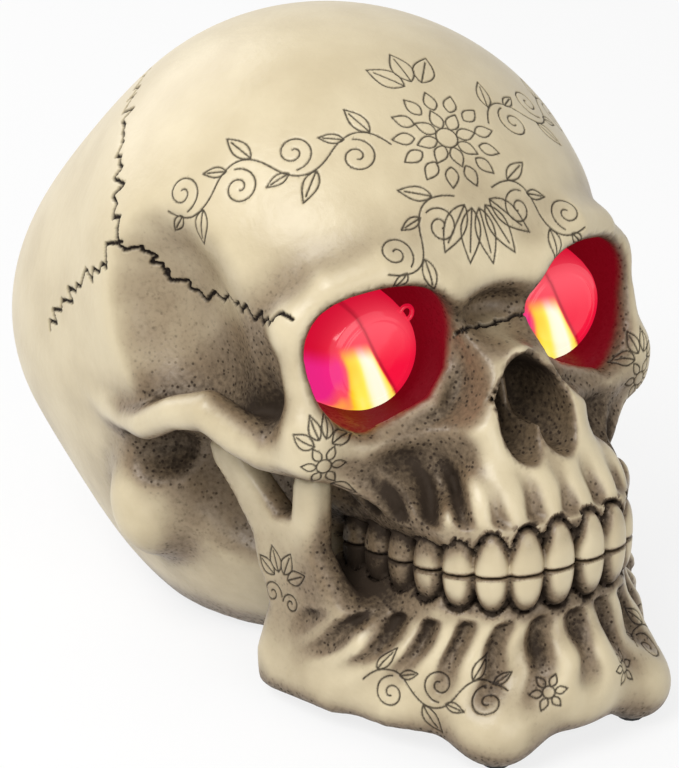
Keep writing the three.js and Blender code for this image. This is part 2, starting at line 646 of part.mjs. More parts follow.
// Pan-head screw that points up, with the underside of its head at z = 0
const screw = ({ head, headHeight, shank, length, sides }) => turnedZ([
  [0, -headHeight], [head, -headHeight], [head, 0], [shank, 0], [shank, length - shank], [0, length],
], sides);

// Superellipsoid about the biting edge, as tall as the tooth with its root
function tooth({ x, y, out, bite, back }, front) {
  const geometry = new THREE.SphereGeometry(1, TOOTH_SIDES, TOOTH_RINGS);
  const p = geometry.getAttribute('position');
  const v = new THREE.Vector3();
  for (let i = 0; i < p.count; i++) {
    v.fromBufferAttribute(p, i);
    const powers = v.toArray().map((n) => Math.abs(n) ** TOOTH_POWER);
    v.divideScalar((powers[0] + powers[1] + powers[2]) ** (1 / TOOTH_POWER));
    p.setXYZ(i, v.x, v.y, v.z);
  }
  const height = mix(front, TOOTH_BACK, back);
  geometry.rotateX(Math.PI / 2).scale(toothPitch * TOOTH_FILL, TOOTH_DEPTH, height);
  geometry.rotateZ(Math.atan2(out.y, out.x) + Math.PI / 2).translate(x, y, bite);
  return solid(geometry);
}
const bothSides = (make) => [-1, 1].map(make);

// A row of teeth, cut off along the sloping bite
function teeth(front, upwards) {
  const row = bothSides((side) => joined(toothPlaces.map((place) => {
    const out = new THREE.Vector2(place.out.x * side, place.out.y);
    return tooth({ ...place, x: place.x * side, out }, front);
  })));
  const way = upwards ? 1 : -1;
  const height = GRID.top;
  const waste = new THREE.BoxGeometry(2 * GRID.side, GRID.back - GRID.front, height);
  waste.translate(0, 0, (-way * height) / 2).rotateX(Math.atan(BITE_SLOPE));
  waste.translate(0, archFront, BITE_HEIGHT + (way * BITE_GAP) / 2);
  return joined(row).subtract(solid(waste));
}

// Places that the castings and the units share
const lampSeat = ORBIT.y + ORBIT.depth - BUSH_SEAT_DEPTH;
const lensBack = ORBIT.y + LENS_SEAT;
const rebate = COVER_INSET + COVER_THICK + GAP;
const dowelPlace = toothPlaces[DOWEL_TOOTH_NUMBER - 1];
const wellWidth = CELL_PITCH + 2 * CELL_RADIUS + 2 * CELL_PLAY;
const wellLength = CELL_LENGTH + CELL_NUB + SPRING_LENGTH + PLATE_THICK + 4 * GAP;
const wellY = -DOOR_TRAVEL / 2;
const doorBottom = COVER_INSET + DOOR_INSET;
const doorTop = doorBottom + DOOR_THICK;
const coverTop = COVER_INSET + COVER_THICK;
const cellHeight = doorTop + GAP + CELL_RADIUS;
const wellTop = cellHeight + CELL_RADIUS + GAP;
const boardBottom = wellTop + WELL_WALL + POST_HEIGHT + GAP;
const boardTop = boardBottom + BOARD_THICK;
const screwSeat = COVER_INSET + DOOR_INSET + COVER_SCREW.headHeight;
const coverScrews = bothSides((sx) => bothSides((sy) => [sx * COVER_SCREW.x, sy * COVER_SCREW.y])).flat();
const boardScrews = bothSides((side) => [WELL_X, wellY + side * BOARD_SCREW.fromMiddle]);
const switchScrews = bothSides((side) => [SWITCH_X, side * SWITCH_SCREW.fromMiddle]);

// Castings
const faceX = mirrored(gridLines([[0, FACE_STEP]], GRID.side));
const faceY = gridLines(
  [[GRID.front, FACE_STEP], [CAVITY_FRONT, (FACE_STEP + VAULT_STEP) / 2], [0, VAULT_STEP]],
  GRID.back,
);
const faceZ = gridLines(
  [[GRID.floor, VAULT_STEP], [PAD_HEIGHT, VAULT_STEP / 2], [BITE_HEIGHT, FACE_STEP], [FACE_TOP, VAULT_STEP]],
  GRID.top,
);
const jawX = mirrored(gridLines([[0, JAW_STEP]], GRID.side));
const jawY = gridLines([[GRID.front, JAW_STEP]], JAW_BACK);
const jawZ = gridLines([[GRID.floor, JAW_STEP]], JAW_TOP);
const hollowX = mirrored(gridLines([[0, HOLLOW_STEP]], GRID.side));
const hollowY = gridLines([[CAVITY_FRONT - HOLLOW_STEP, HOLLOW_STEP]], GRID.back);
const hollowZ = gridLines([[GRID.floor, HOLLOW_STEP]], GRID.top);
const below = (height) => box(-GRID.side, GRID.side, GRID.front, GRID.back, 2 * GRID.floor, height);
const inBase = (shape) => shape.translate(0, COVER_Y, PAD_HEIGHT);

async function hollow() {
  const field = (x, y, z) => Math.max(craniumField(x, y, z) + WALL, CAVITY_FRONT - y);
  const whole = await sculpted(field, [hollowX, hollowY, hollowZ], HOLLOW_POINTS);
  return whole.subtract(below(PAD_HEIGHT + SLAB));
}

function eyeCuts(side) {
  const place = (shape) => shape.translate(side * EYE_X, 0, EYE_Z);
  return [
    place(turnedY(rod(LENS_RADIUS + GAP, ORBIT.y, lensBack), LENS_SIDES)),
    place(turnedY(rod(BUSH_FLANGE_RADIUS + GAP, lensBack, lampSeat), PIN_SIDES)),
    place(turnedY(rod(BUSH_RADIUS + GAP, lensBack, lampSeat + LEAD_BORE), PIN_SIDES)),
  ];
}

function dowelHole(side) {
  const { x, y, bite } = dowelPlace;
  const reach = DOWEL_REACH + GAP;
  return turnedZ(rod(DOWEL_RADIUS + GAP, bite - reach, bite + reach), PIN_SIDES).translate(side * x, y, 0);
}

function septum() {
  const shape = new THREE.Shape(SEPTUM.map((p) => new THREE.Vector2(...p)));
  const sheet = new THREE.ExtrudeGeometry(shape, { depth: SEPTUM_THICK, bevelEnabled: false });
  return solid(sheet.rotateX(Math.PI / 2).rotateZ(Math.PI / 2).translate(-SEPTUM_THICK / 2, 0, 0));
}

async function craniumCasting() {
  const bone = await sculpted(craniumField, [faceX, faceY, faceZ], CRANIUM_POINTS);
  const outside = joined([bone, septum(), teeth(UPPER_FRONT, true)]);
  const screwTip = screwSeat + COVER_SCREW.length + GAP;
  return cut(outside, [
    below(PAD_HEIGHT),
    await hollow(),
    inBase(roundedSlab(COVER_WIDTH + 2 * GAP, COVER_LENGTH + 2 * GAP, COVER_CORNER + GAP, -OVERCUT, rebate)),
    inBase(roundedSlab(HATCH_WIDTH, HATCH_LENGTH, HATCH_CORNER, -OVERCUT, SLAB + OVERCUT)),
    ...coverScrews.map((at) => inBase(upright(at, COVER_SCREW.shank + GAP, 0, screwTip, HOLE_SIDES))),
    ...bothSides(eyeCuts).flat(),
    ...bothSides(dowelHole),
  ]);
}

async function jawCasting() {
  const field = (x, y, z) => Math.max(jawField(x, y, z), BOND - craniumField(x, y, z));
  const bone = await sculpted(field, [jawX, jawY, jawZ], JAW_POINTS);
  return cut(bone.add(teeth(LOWER_FRONT, false)), [below(PAD_HEIGHT), ...bothSides(dowelHole)]);
}

// Eye unit pieces, about the lens axis, in the casting's own depths
function lens(side) {
  const front = lensBack - GAP - LENS_DEPTH;
  const back = lensBack - GAP;
  const edge = front + LENS_CROWN;
  const bore = LENS_RADIUS - LENS_WALL;
  const cup = turnedY([
    ...dome(LENS_FRONT_RADIUS, front, LENS_CROWN),
    [LENS_RADIUS, back - LENS_COLLAR], [LENS_RADIUS, back], [bore, back], [bore, back - LENS_COLLAR],
    [LENS_FRONT_RADIUS - LENS_WALL, edge + LENS_WALL], [0, front + LENS_WALL],
  ], LENS_SIDES);
  const loop = new THREE.TorusGeometry(LENS_EAR.radius, LENS_EAR.tube, LENS_EAR.sides, LENS_EAR.steps);
  loop.translate(0, LENS_FRONT_RADIUS + LENS_EAR.radius, 0).rotateX(Math.PI / 2);
  loop.translate(0, edge + LENS_EAR.back, 0);
  return cup.add(solid(loop).rotate([0, side * LENS_EAR.turnDegrees, 0]));
}
const bushFront = lampSeat - GAP - BUSH_FLANGE;
const bushBack = lampSeat + WALL + BUSH_TAIL;
const bushBore = LAMP_RADIUS + GAP;
const bush = () => turnedY([
  [bushBore, bushFront], [BUSH_FLANGE_RADIUS, bushFront], [BUSH_FLANGE_RADIUS, bushFront + BUSH_FLANGE],
  [BUSH_RADIUS, bushFront + BUSH_FLANGE], [BUSH_RADIUS, bushBack], [bushBore, bushBack],
  [bushBore, bushFront],
], PIN_SIDES);
const lampFront = bushFront - LAMP_REACH;
const lampBack = lampFront + LAMP_LENGTH;
const lamp = () => turnedY([
  ...dome(LAMP_RADIUS, lampFront, LAMP_RADIUS), [LAMP_RADIUS, lampBack], [0, lampBack],
], PIN_SIDES);

// Base unit pieces, from the middle of the cover and the underside of the slab
const inWell = (shape) => shape.translate(WELL_X, wellY, 0);
const doorWidth = wellWidth + 2 * DOOR_LEDGE;
const doorLength = wellLength + 2 * DOOR_END_LEDGE;
const tongueBottom = doorTop - TONGUE_THICK;
const sliderWay = (z0, z1) => block(
  SWITCH_X, SLIDER_TRAVEL / 2, SLIDER_WIDTH + 2 * SLIDE, SLIDER_LENGTH + SLIDER_TRAVEL + 2 * SLIDE, z0, z1,
);
const tonguePlaces = bothSides((sx) => bothSides((sy) => [sx * (doorWidth / 2), sy * TONGUE_PLACE])).flat();

function baseCover() {
  const flange = roundedSlab(COVER_WIDTH, COVER_LENGTH, COVER_CORNER, COVER_INSET, coverTop);
  const wellBox = block(
    0, 0, wellWidth + 2 * WELL_WALL, wellLength + 2 * WELL_WALL, COVER_INSET, wellTop + WELL_WALL,
  );
  const posts = boardScrews.map((at) => upright(at, POST_RADIUS, wellTop, boardBottom - GAP, BOSS_SIDES));
  const trackEnd = doorLength / 2 + SLIDE;
  const track = (width, z0, z1) =>
    inWell(box(-width / 2, width / 2, -trackEnd, trackEnd + DOOR_TRAVEL, z0, z1));
  const notches = tonguePlaces.map(([x, y]) => inWell(
    block(x, y + DOOR_TRAVEL, 2 * (TONGUE_REACH + SLIDE), TONGUE_LENGTH + 2 * SLIDE, 0, tongueBottom)));
  const boardThread = boardTop - BOARD_SCREW.length;
  const switchThread = coverTop + SWITCH_EAR - SWITCH_SCREW.length;
  return cut(joined([flange, inWell(wellBox), ...posts]), [
    inWell(block(0, 0, wellWidth, wellLength, doorTop, wellTop)),
    track(doorWidth + 2 * SLIDE, 0, doorTop + SLIDE),
    track(doorWidth + 2 * (TONGUE_REACH + SLIDE), tongueBottom - SLIDE, doorTop + SLIDE),
    ...notches,
    sliderWay(0, coverTop + OVERCUT),
    ...coverScrews.map((at) => upright(at, COVER_SCREW.head + GAP, 0, screwSeat + GAP, BOSS_SIDES)),
    ...coverScrews.map((at) => upright(at, COVER_SCREW.shank + GAP, 0, coverTop + OVERCUT, HOLE_SIDES)),
    ...boardScrews.map((at) => upright(at, BOARD_SCREW.shank + GAP, boardThread, boardTop, HOLE_SIDES)),
    ...switchScrews.map((at) =>
      upright(at, SWITCH_SCREW.shank + GAP, switchThread, coverTop + OVERCUT, HOLE_SIDES)),
  ]);
}

function batteryDoor() {
  const face = block(0, 0, doorWidth, doorLength, doorBottom, doorTop);
  const tongues = tonguePlaces.map(([x, y]) =>
    block(x, y, 2 * TONGUE_REACH, TONGUE_LENGTH, tongueBottom, doorTop));
  const grips = [...Array(GRIP.count).keys()].map((n) => {
    const y = GRIP.fromEnd - doorLength / 2 + (n - (GRIP.count - 1) / 2) * GRIP.pitch;
    return block(0, y, doorWidth / 2, GRIP.width, 0, doorBottom + GRIP.depth);
  });
  return inWell(cut(joined([face, ...tongues]), grips));
}

const cellEnd = CELL_LENGTH + CELL_NUB;
const cell = () => turnedY([
  [0, 0], [CELL_RADIUS, 0], [CELL_RADIUS, CELL_LENGTH], [CELL_NUB_RADIUS, CELL_LENGTH],
  [CELL_NUB_RADIUS, cellEnd], [0, cellEnd],
], CELL_SIDES);

class SpringCurve extends THREE.Curve {
  getPoint(t, target = new THREE.Vector3()) {
    const turn = t * SPRING_TURNS * Math.PI * 2;
    const radius = mix(SPRING_RADIUS, SPRING_TIP_RADIUS, t);
    const rise = mix(SPRING_WIRE, SPRING_LENGTH - SPRING_WIRE, t);
    return target.set(radius * Math.cos(turn), rise, radius * Math.sin(turn));
  }
}
const spring = () => swept(new SpringCurve(), SPRING_WIRE, SPRING_TURNS * WIRE_STEPS, WIRE_SIDES);
const contact = () => block(0, PLATE_THICK / 2, PLATE_SIZE, PLATE_THICK, -PLATE_SIZE / 2, PLATE_SIZE / 2);

function circuitBoard() {
  const sheet = inWell(block(0, 0, BOARD_WIDTH, BOARD_LENGTH, boardBottom, boardTop));
  const holes = boardScrews.map((at) =>
    upright(at, BOARD_SCREW.shank + GAP, boardBottom - OVERCUT, boardTop + OVERCUT, HOLE_SIDES));
  return cut(sheet, holes);
}

function resistor() {
  const { radius, waist, length, cap, shoulder } = RESISTOR;
  return turnedY([
    [0, 0], [radius, shoulder], [radius, cap], [waist, cap + shoulder],
    [waist, length - cap - shoulder], [radius, length - cap], [radius, length - shoulder], [0, length],
  ], CABLE_SIDES);
}

function switchBody() {
  const bottom = coverTop + GAP;
  const can = block(SWITCH_X, 0, SWITCH_WIDTH, SWITCH_LENGTH, bottom, bottom + SWITCH_HEIGHT);
  const ears = block(SWITCH_X, 0, SWITCH_WIDTH, SWITCH_EAR_LENGTH, bottom, bottom + SWITCH_EAR);
  const pocket = sliderWay(bottom - OVERCUT, bottom + SLIDER_ENTRY + SLIDE);
  const holes = switchScrews.map((at) =>
    upright(at, SWITCH_SCREW.shank + GAP, coverTop, bottom + SWITCH_EAR + OVERCUT, HOLE_SIDES));
  return cut(can.add(ears), [pocket, ...holes]);
}

function switchSlider() {
  const bottom = COVER_INSET + SLIDER_INSET;
  const knob = block(SWITCH_X, 0, SLIDER_WIDTH, SLIDER_LENGTH, bottom, coverTop + GAP + SLIDER_ENTRY);
  const pitch = SLIDER_LENGTH / (SLIDER_GROOVES + 1);
  const grooves = [...Array(SLIDER_GROOVES).keys()].map((n) => {
    const y = (n - (SLIDER_GROOVES - 1) / 2) * pitch;
    return block(SWITCH_X, y, SLIDER_WIDTH + OVERCUT, GROOVE, bottom - OVERCUT, bottom + GROOVE);
  });
  return cut(knob, grooves);
}

const footPad = () => turnedZ([
  [0, 0], [PAD_RADIUS - PAD_CHAMFER, 0], [PAD_RADIUS, PAD_CHAMFER], [PAD_RADIUS, PAD_THICK], [0, PAD_THICK],
], PIN_SIDES);

// Assembly
const skull = new THREE.Group();
skull.add(named('cranium_casting', await craniumCasting(), RESIN));
skull.add(named('mandible_casting', await jawCasting(), RESIN));

const baseUnit = new THREE.Group();
baseUnit.position.set(0, COVER_Y, PAD_HEIGHT);
skull.add(baseUnit);
const place = (parent, node, x, y, z) => {
  node.position.set(x, y, z);
  parent.add(node);
};

for (const [sideName, side] of [['left', 1], ['right', -1]]) {
  const dowel = turnedZ(rod(DOWEL_RADIUS, -DOWEL_REACH, DOWEL_REACH), PIN_SIDES);
  const { x: dowelX, y: dowelY, bite } = dowelPlace;
  place(skull, named(`jaw_dowel_${sideName}`, dowel, STEEL), side * dowelX, dowelY, bite);

  const eyeX = side * EYE_X;
  const eyeUnit = new THREE.Group();
  eyeUnit.position.set(eyeX, 0, EYE_Z);
  skull.add(eyeUnit);
  eyeUnit.add(named(`eye_lens_${sideName}`, lens(side), RED_PLASTIC));
  eyeUnit.add(named(`led_${sideName}`, lamp(), CLEAR_LAMP));
  eyeUnit.add(named(`led_bush_${sideName}`, bush(), BLACK_PLASTIC));

  const plugX = WELL_X + side * PLUG.fromMiddle;
  const plugY = wellY - PLUG.ahead;
  const onBoard = boardTop + GAP;
  const plug = block(0, 0, PLUG.width, PLUG.length, 0, PLUG.height);
  place(baseUnit, named(`led_plug_${sideName}`, plug, PLUG_WHITE), plugX, plugY, onBoard);
  const resistorY = wellY + BOARD_SCREW.fromMiddle / 4;
  const resistorNode = named(`resistor_${sideName}`, resistor(), RESISTOR_TAN);
  place(baseUnit, resistorNode, plugX, resistorY, onBoard + RESISTOR.radius);

  const plugTop = PAD_HEIGHT + onBoard + PLUG.height + GAP;
  const leadEnd = COVER_Y + plugY;
  const lead = cable([
    [eyeX, lampBack + GAP, EYE_Z],
    [eyeX, lampBack + LEAD.run, EYE_Z - LEAD.dip],
    [side * (EYE_X - LEAD.bendIn), lampBack + LEAD.bendRun, EYE_Z - LEAD.bendDip],
    [mix(eyeX, plugX, LEAD.lowShare), leadEnd - LEAD.ahead, EYE_Z - LEAD.low],
    [plugX, leadEnd, plugTop + LEAD.rise],
    [plugX, leadEnd, plugTop],
  ]);
  skull.add(named(`led_cable_${sideName}`, lead, side > 0 ? CABLE_RED : CABLE_BLACK));
}

baseUnit.add(named('base_cover', baseCover(), BLACK_PLASTIC));
baseUnit.add(named('battery_door', batteryDoor(), GREY_PLASTIC));
for (const [number, side] of [[1, -1], [2, 1]]) {
  const x = WELL_X + (side * CELL_PITCH) / 2;
  const plateEnd = wellLength / 2 - GAP;
  const nubEnd = plateEnd - PLATE_THICK - GAP;
  const flatEnd = nubEnd - CELL_NUB - CELL_LENGTH;
  const turn = side > 0 ? 0 : Math.PI;
  const row = new THREE.Group();
  row.position.set(x, wellY, cellHeight);
  row.rotation.z = turn;
  baseUnit.add(row);
  place(row, named(`battery_${number}`, cell(), CELL_WRAP), 0, flatEnd, 0);
  place(row, named(`contact_plate_${number}`, contact(), NICKEL), 0, plateEnd - PLATE_THICK, 0);
  place(row, named(`contact_spring_${number}`, spring(), NICKEL), 0, flatEnd - GAP - SPRING_LENGTH, 0);
}
baseUnit.add(named('circuit_board', circuitBoard(), BOARD_GREEN));
boardScrews.forEach(([x, y], i) => {
  const node = named(`board_screw_${i + 1}`, screw(BOARD_SCREW), STEEL);
  node.rotation.x = Math.PI;
  place(baseUnit, node, x, y, boardTop + GAP);
});
baseUnit.add(named('switch_body', switchBody(), BLACK_PLASTIC));
baseUnit.add(named('switch_slider', switchSlider(), GREY_PLASTIC));
switchScrews.forEach(([x, y], i) => {
  const node = named(`switch_screw_${i + 1}`, screw(SWITCH_SCREW), STEEL);
  node.rotation.x = Math.PI;
  place(baseUnit, node, x, y, coverTop + GAP + SWITCH_EAR + GAP);
});
coverScrews.forEach(([x, y], i) => {
  place(baseUnit, named(`cover_screw_${i + 1}`, screw(COVER_SCREW), STEEL), x, y, screwSeat);
});
PAD_PLACES.forEach(([x, y], row) => bothSides((side) => {
  const number = row * 2 + (side > 0 ? 1 : 2);
  place(skull, named(`foot_pad_${number}`, footPad(), RUBBER), side * x, y, 0);
}));

// The origin is on the table below the middle of the whole skull
const extent = new THREE.Box3().setFromObject(skull);
skull.position.y = -(extent.min.y + extent.max.y) / 2;

export default skull;
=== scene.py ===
"""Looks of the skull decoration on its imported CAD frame.

Sculpted sizes are in millimetres in the casting's own frame: x to the side, y to the back of the
head, z up from the table. Blender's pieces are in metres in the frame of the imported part.
"""

import json
import math

import bpy
import numpy as np
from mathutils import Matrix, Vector
from mathutils.kdtree import KDTree

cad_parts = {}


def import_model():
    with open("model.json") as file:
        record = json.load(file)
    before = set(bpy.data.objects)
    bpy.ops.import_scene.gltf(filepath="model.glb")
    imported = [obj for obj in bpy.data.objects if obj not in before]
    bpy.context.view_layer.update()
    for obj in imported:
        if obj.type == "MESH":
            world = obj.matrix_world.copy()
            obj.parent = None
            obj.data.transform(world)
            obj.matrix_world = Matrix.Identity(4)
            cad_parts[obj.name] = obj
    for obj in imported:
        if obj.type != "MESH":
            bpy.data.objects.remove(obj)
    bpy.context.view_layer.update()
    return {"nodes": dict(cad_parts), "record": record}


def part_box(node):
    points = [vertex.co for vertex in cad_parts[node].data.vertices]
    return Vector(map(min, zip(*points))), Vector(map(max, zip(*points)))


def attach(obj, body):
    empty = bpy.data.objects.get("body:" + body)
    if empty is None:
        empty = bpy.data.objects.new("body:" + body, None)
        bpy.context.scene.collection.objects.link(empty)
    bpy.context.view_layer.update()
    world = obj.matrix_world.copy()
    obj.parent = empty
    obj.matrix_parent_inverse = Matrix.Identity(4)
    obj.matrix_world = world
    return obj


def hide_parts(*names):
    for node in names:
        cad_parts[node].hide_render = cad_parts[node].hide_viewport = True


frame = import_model()

MM = 0.001
BODY = "skull"

# Vault and face masses: centre, half sizes, tilt and softness of the joint
VAULT = [
    ((0, 8.9, 90.2), (70.2, 75.4, 76.7), 0.25, 1),
    ((0, -5.9, 105.2), (64, 50.7, 54), 0, 22),
    ((0, 53.2, 69.1), (65.5, 63.5, 58.3), 0, 25),
    ((0, 19, 37.5), (56.6, 65.2, 53.3), 0, 18),
    ((0, -36, 119), (48, 29, 25), 0, 14),
]
TEMPLE = ((71, -27, 101), (18, 22, 34), 0.5, 7)
WINDOW = ((65, -31, 91), (13, 14, 16), 0, 4)
JAW_SPACE = ((66, -30, 52), (36, 22, 26), 0.35, 5)
MASTOID = ((56, 4, 43), (14, 12, 18), 0, 5)
EAR = ((66, -7, 60), (15, 8, 8), 0, 3)
CHEEK_HOLLOW = ((30, -83, 75), (9, 8, 9), 0, 6)
NOSE_SIDE = ((22.5, -81, 99), (12, 21, 13), 0, 4)
NASION = ((0, -74.5, 108), (10, 11, 5.5), 0, 6)
FACE = ((0, -44, 94), (45, 26, 32), 0, 11)
MAXILLA = ((0, -66, 78), (26, 25, 26), 0, 10)
ZYGOMA = ((49.5, -60.5, 80), (8, 7, 9.5), 0, 6)

# Bony ridges as lines of (x, y, z, radius)
BROW = [
    (4, -62.5, 113, 5.5), (15, -65.5, 115, 5.5), (30, -62.5, 121.5, 4.5), (42, -58.5, 118, 4.2),
    (50, -54, 108, 4.2),
]
ORBIT_SIDE = [(50, -54.5, 109, 4.2), (51, -57.5, 98, 4.2), (50.5, -60.5, 87, 4.8)]
ORBIT_FLOOR = [
    (50, -61, 82, 4.6), (39, -67, 79, 4.2), (26, -70.5, 81, 4.2), (15, -70, 89.5, 4), (9, -64.5, 99, 4),
    (7.5, -61.5, 106, 4.5),
]
NASAL_BONE = [(0, -62, 106, 4.5), (0, -80, 100.5, 3.4)]
NOSE_RIM = [
    (7, -64, 104, 4.2), (10.5, -77, 95, 3.8), (13.5, -84.5, 84, 3.6), (11, -89, 75, 3.6), (4, -91.5, 73, 3.2),
]
CHEEK_CREST = [(46, -62, 74, 5), (38, -68, 70, 5), (30, -76, 66, 5)]
CHEEK_ARCH = [
    (50, -58, 76.5, 7), (56, -50, 77, 6.4), (61, -45.5, 80, 5.8), (66, -39, 85, 5.4), (69, -27, 81, 4.4),
    (69.5, -14, 73.5, 4.4), (67.5, -3, 70, 4.4), (64, 10, 69.5, 5), (60, 24, 76, 6),
]
RIDGE_SOFT, BROW_SOFT, ARCH_SOFT = 6, 8, 4
# Cores that stop the flutes over the upper roots from cutting through
ROOT_CORE = [
    (0, -88, 69, 2.2), (8, -87, 68.5, 2.2), (14, -84.5, 68, 2.2), (19, -80, 66.5, 2.6), (20.5, -73, 64, 2.8),
    (21.5, -65, 63, 3),
]
CHEEK_CORE = [(31, -66, 72.5, 3), (34, -65.5, 73, 3)]
CORE_SOFT = 2

# Gum walls: (share of the dental arch from its middle, inset, middle height, half height, half thickness)
GUM_UPPER = [
    (1, 5, 62, 11, 6.5), (0.76, 4.6, 64, 10.5, 7), (0.5, 5.2, 65.5, 10, 7), (0.28, 8.2, 66.5, 10, 7),
    (0, 8.4, 67, 10, 7),
]
GUM_LOWER = [
    (1, 4, 30, 9.5, 6), (0.74, 4.4, 31.5, 9.5, 6.5), (0.5, 4.6, 33, 10, 6.5), (0.27, 7, 34, 10.5, 6.5),
    (0, 7, 34.5, 10.5, 6.5),
]
GUM_SLOPE, GUM_FOOT, GUM_SOFT = 0.55, 63, 5
# Jaw walls as plan points of (x, y, middle height, half height, half thickness)
JAW_BODY = [
    (48, -42, 20, 16, 5), (45, -60, 20, 14, 6), (38, -80, 20, 14, 6.5),
    (27, -98, 20.5, 13, 7.5), (12, -106, 21, 12.5, 7), (0, -107, 21, 12, 7),
]
JAW_SHELF = [(40, -44, 24, 8, 7), (37, -62, 24, 8, 8), (31, -82, 24, 8, 8), (20, -95, 24, 8, 8)]
JAW_TAPER, JAW_TAPER_FOOT, JAW_MIDDLE = 0.008, 12, -50
CHIN = ((0, -107.5, 20), (16, 8, 12), 0, 8)
CHIN_CORNER = ((22, -104, 10), (10, 10, 9.5), 0, 8)
RAMUS = [
    (-46, 7), (-66, 7), (-78, 26), (-67, 37), (-59, 48), (-59, 66), (-55, 74), (-51, 66), (-50, 56),
    (-46, 55), (-37, 62), (-29, 69), (-20, 68), (-22, 62), (-30, 54), (-36, 46), (-38, 38), (-43, 28),
    (-41, 14),
]
RAMUS_SIDE, RAMUS_SPLAY, RAMUS_PIVOT, RAMUS_HALF, RAMUS_ROUND, RAMUS_SOFT = 48, 0.2, -42, 4, 3, 8
BOND = 0.8  # gap between the jaw's side plates and the cranium
TABLE_GAP = 2  # the castings stand this far above the table

# Openings of the face
ORBIT = {
    "centre": (30.5, -66, 100.5), "half": (19.5, 42, 18.2), "roll": 0.18, "power": 2.5,
    "soft": 3, "scale": 15,
}
NOSE_LOBE = ((5.6, -86, 85), (5.6, 22, 9), -0.15, 4)
NOSE_TOP = ((0, -85, 93), (6, 20, 7.5), 0.25, 1.5)
SEPTUM = [(-87, 74), (-60, 70), (-60, 96), (-73, 95), (-77, 82)]
SEPTUM_HALF, SEPTUM_ROUND, SEPTUM_SOFT, LIP_SOFT = 1.1, 0.6, 1.5, 3.5
ORBIT_WALL, ORBIT_WALL_BACK = 3, 1.5  # thickness, and how far behind the edge it starts
ORBIT_LIP = [(8.5, -65, 100.5, 1.5), (12.2, -68.2, 93.4, 2), (19.7, -71, 87.4, 2.2), (33, -68, 81.6, 1.8)]
# Edge of the orbit: degrees round its centre, and place in y
ORBIT_RIM = [
    (-180, -65.5), (-155, -68.6), (-131, -71.5), (-82, -68), (-35, -61), (-7, -58), (57, -59), (91, -63),
    (137, -66), (180, -65.5),
]
# Patches of darker or lighter antique finish and painted shade: middle, radius and amount
WASH_AND_SHADE_PATCHES = [
    ((0, -66, 108), 13, -0.32), ((44, -62, 42), 14, 0.22), ((56, -40, 90), 16, 0.1), ((64, -8, 60), 14, 0.12),
    ((10, -75, 98), 9, 0.08), ((52, -26, 48), 20, 0.18), ((32, -66, 52), 15, 0.14), ((0, -60, 128), 22, 0.13),
    ((32, -78, 68), 18, 0.2), ((50, -50, 26), 22, 0.17), ((24, -102, 12), 18, 0.16),
    ((16, -106, 33), 18, -0.1), ((51, -60, 82), 13, 0.07),
]
TOOTH_STAIN, BITE_WASH_AND_SHADE, FLUTE_WASH_AND_SHADE = 0.15, 0.35, 0.22  # towards the roots, along the bite and in the flutes; the last two are antique finish and painted shade together
UNDER_SHADE, FOOT_SHADE = 0.22, 0.2  # painted shade on what faces down, and near the table

# Teeth on a superelliptic arch
ARCH_HALF, ARCH_DEPTH, ARCH_BACK, ARCH_POWER = 33, 60, -48, 3
TEETH_PER_SIDE = 8
BITE_HEIGHT, BITE_SLOPE, BITE_GAP = 52, -0.14, 0.6
TOOTH_INSET, TOOTH_DEPTH, TOOTH_FILL, TOOTH_POWER = 4.2, 4.4, 0.47, 2.6
UPPER_FRONT, LOWER_FRONT, TOOTH_BACK = 11.8, 11.4, 9
TOOTH_GROOVE, TOOTH_TAPER = 0.8, 0.22
TEETH_ROOM = (4, 8, 26)  # how far past the arch teeth are worked out: outwards, back, and up or down
# Grooves between the roots: depth, place of the gum line from the bite, length and its unevenness
ROOT_FLUTE, ROOT_LINE, FLUTE_LENGTH, FLUTE_UNEVEN = 2.5, 11.5, 19, 6
FLUTE_PINCH, FLUTE_WANDER, FLUTE_NARROW = 0.012, 0.5, 1.5
FLUTE_START, FLUTE_FADE, FLUTE_SIDE = (0.5, 3.5), (-9, 5), (-66, -50)

# Hollow, base opening and lens seats, as in the CAD part
WALL, CAVITY_FRONT, CAVITY_FLOOR = 7, -38, 16
BASE_Y = 14
REBATE = (56.6, 74.6, 18.3, 6.7)  # width, length, corner radius and top
HATCH = (40, 63, 2, 18)
LENS_X, LENS_Z, LENS_BORE, LENS_SEAT = 29.5, 97.5, 16.8, (-66, -41)


def blend(a, b, soft):
    h = np.maximum(soft - np.abs(a - b), 0) / soft
    return np.minimum(a, b) - h * h * soft / 4


def carve(a, b, soft):
    return -blend(-a, b, soft)


def mix(a, b, t):
    return a + (b - a) * t


def smooth_step(v, lo, hi):
    t = np.clip((v - lo) / (hi - lo), 0, 1)
    return t * t * (3 - 2 * t)


def ellipsoid(x, y, z, form):
    centre, half, tilt, _ = form
    dx, dy, dz = x - centre[0], y - centre[1], z - centre[2]
    c, s = math.cos(tilt), math.sin(tilt)
    dy, dz = c * dy - s * dz, s * dy + c * dz
    k0 = np.sqrt((dx / half[0]) ** 2 + (dy / half[1]) ** 2 + (dz / half[2]) ** 2)
    k1 = np.sqrt((dx / half[0] ** 2) ** 2 + (dy / half[1] ** 2) ** 2 + (dz / half[2] ** 2) ** 2)
    return k0 * (k0 - 1) / np.maximum(k1, 1e-9)


def ridge(x, y, z, points):
    best = np.full(x.shape, 1e9)
    for a, b in zip(points[:-1], points[1:]):
        e = [b[i] - a[i] for i in range(3)]
        p = [x - a[0], y - a[1], z - a[2]]
        t = np.clip(sum(p[i] * e[i] for i in range(3)) / sum(v * v for v in e), 0, 1)
        d = np.sqrt(sum((p[i] - e[i] * t) ** 2 for i in range(3))) - mix(a[3], b[3], t)
        best = np.minimum(best, d)
    return best


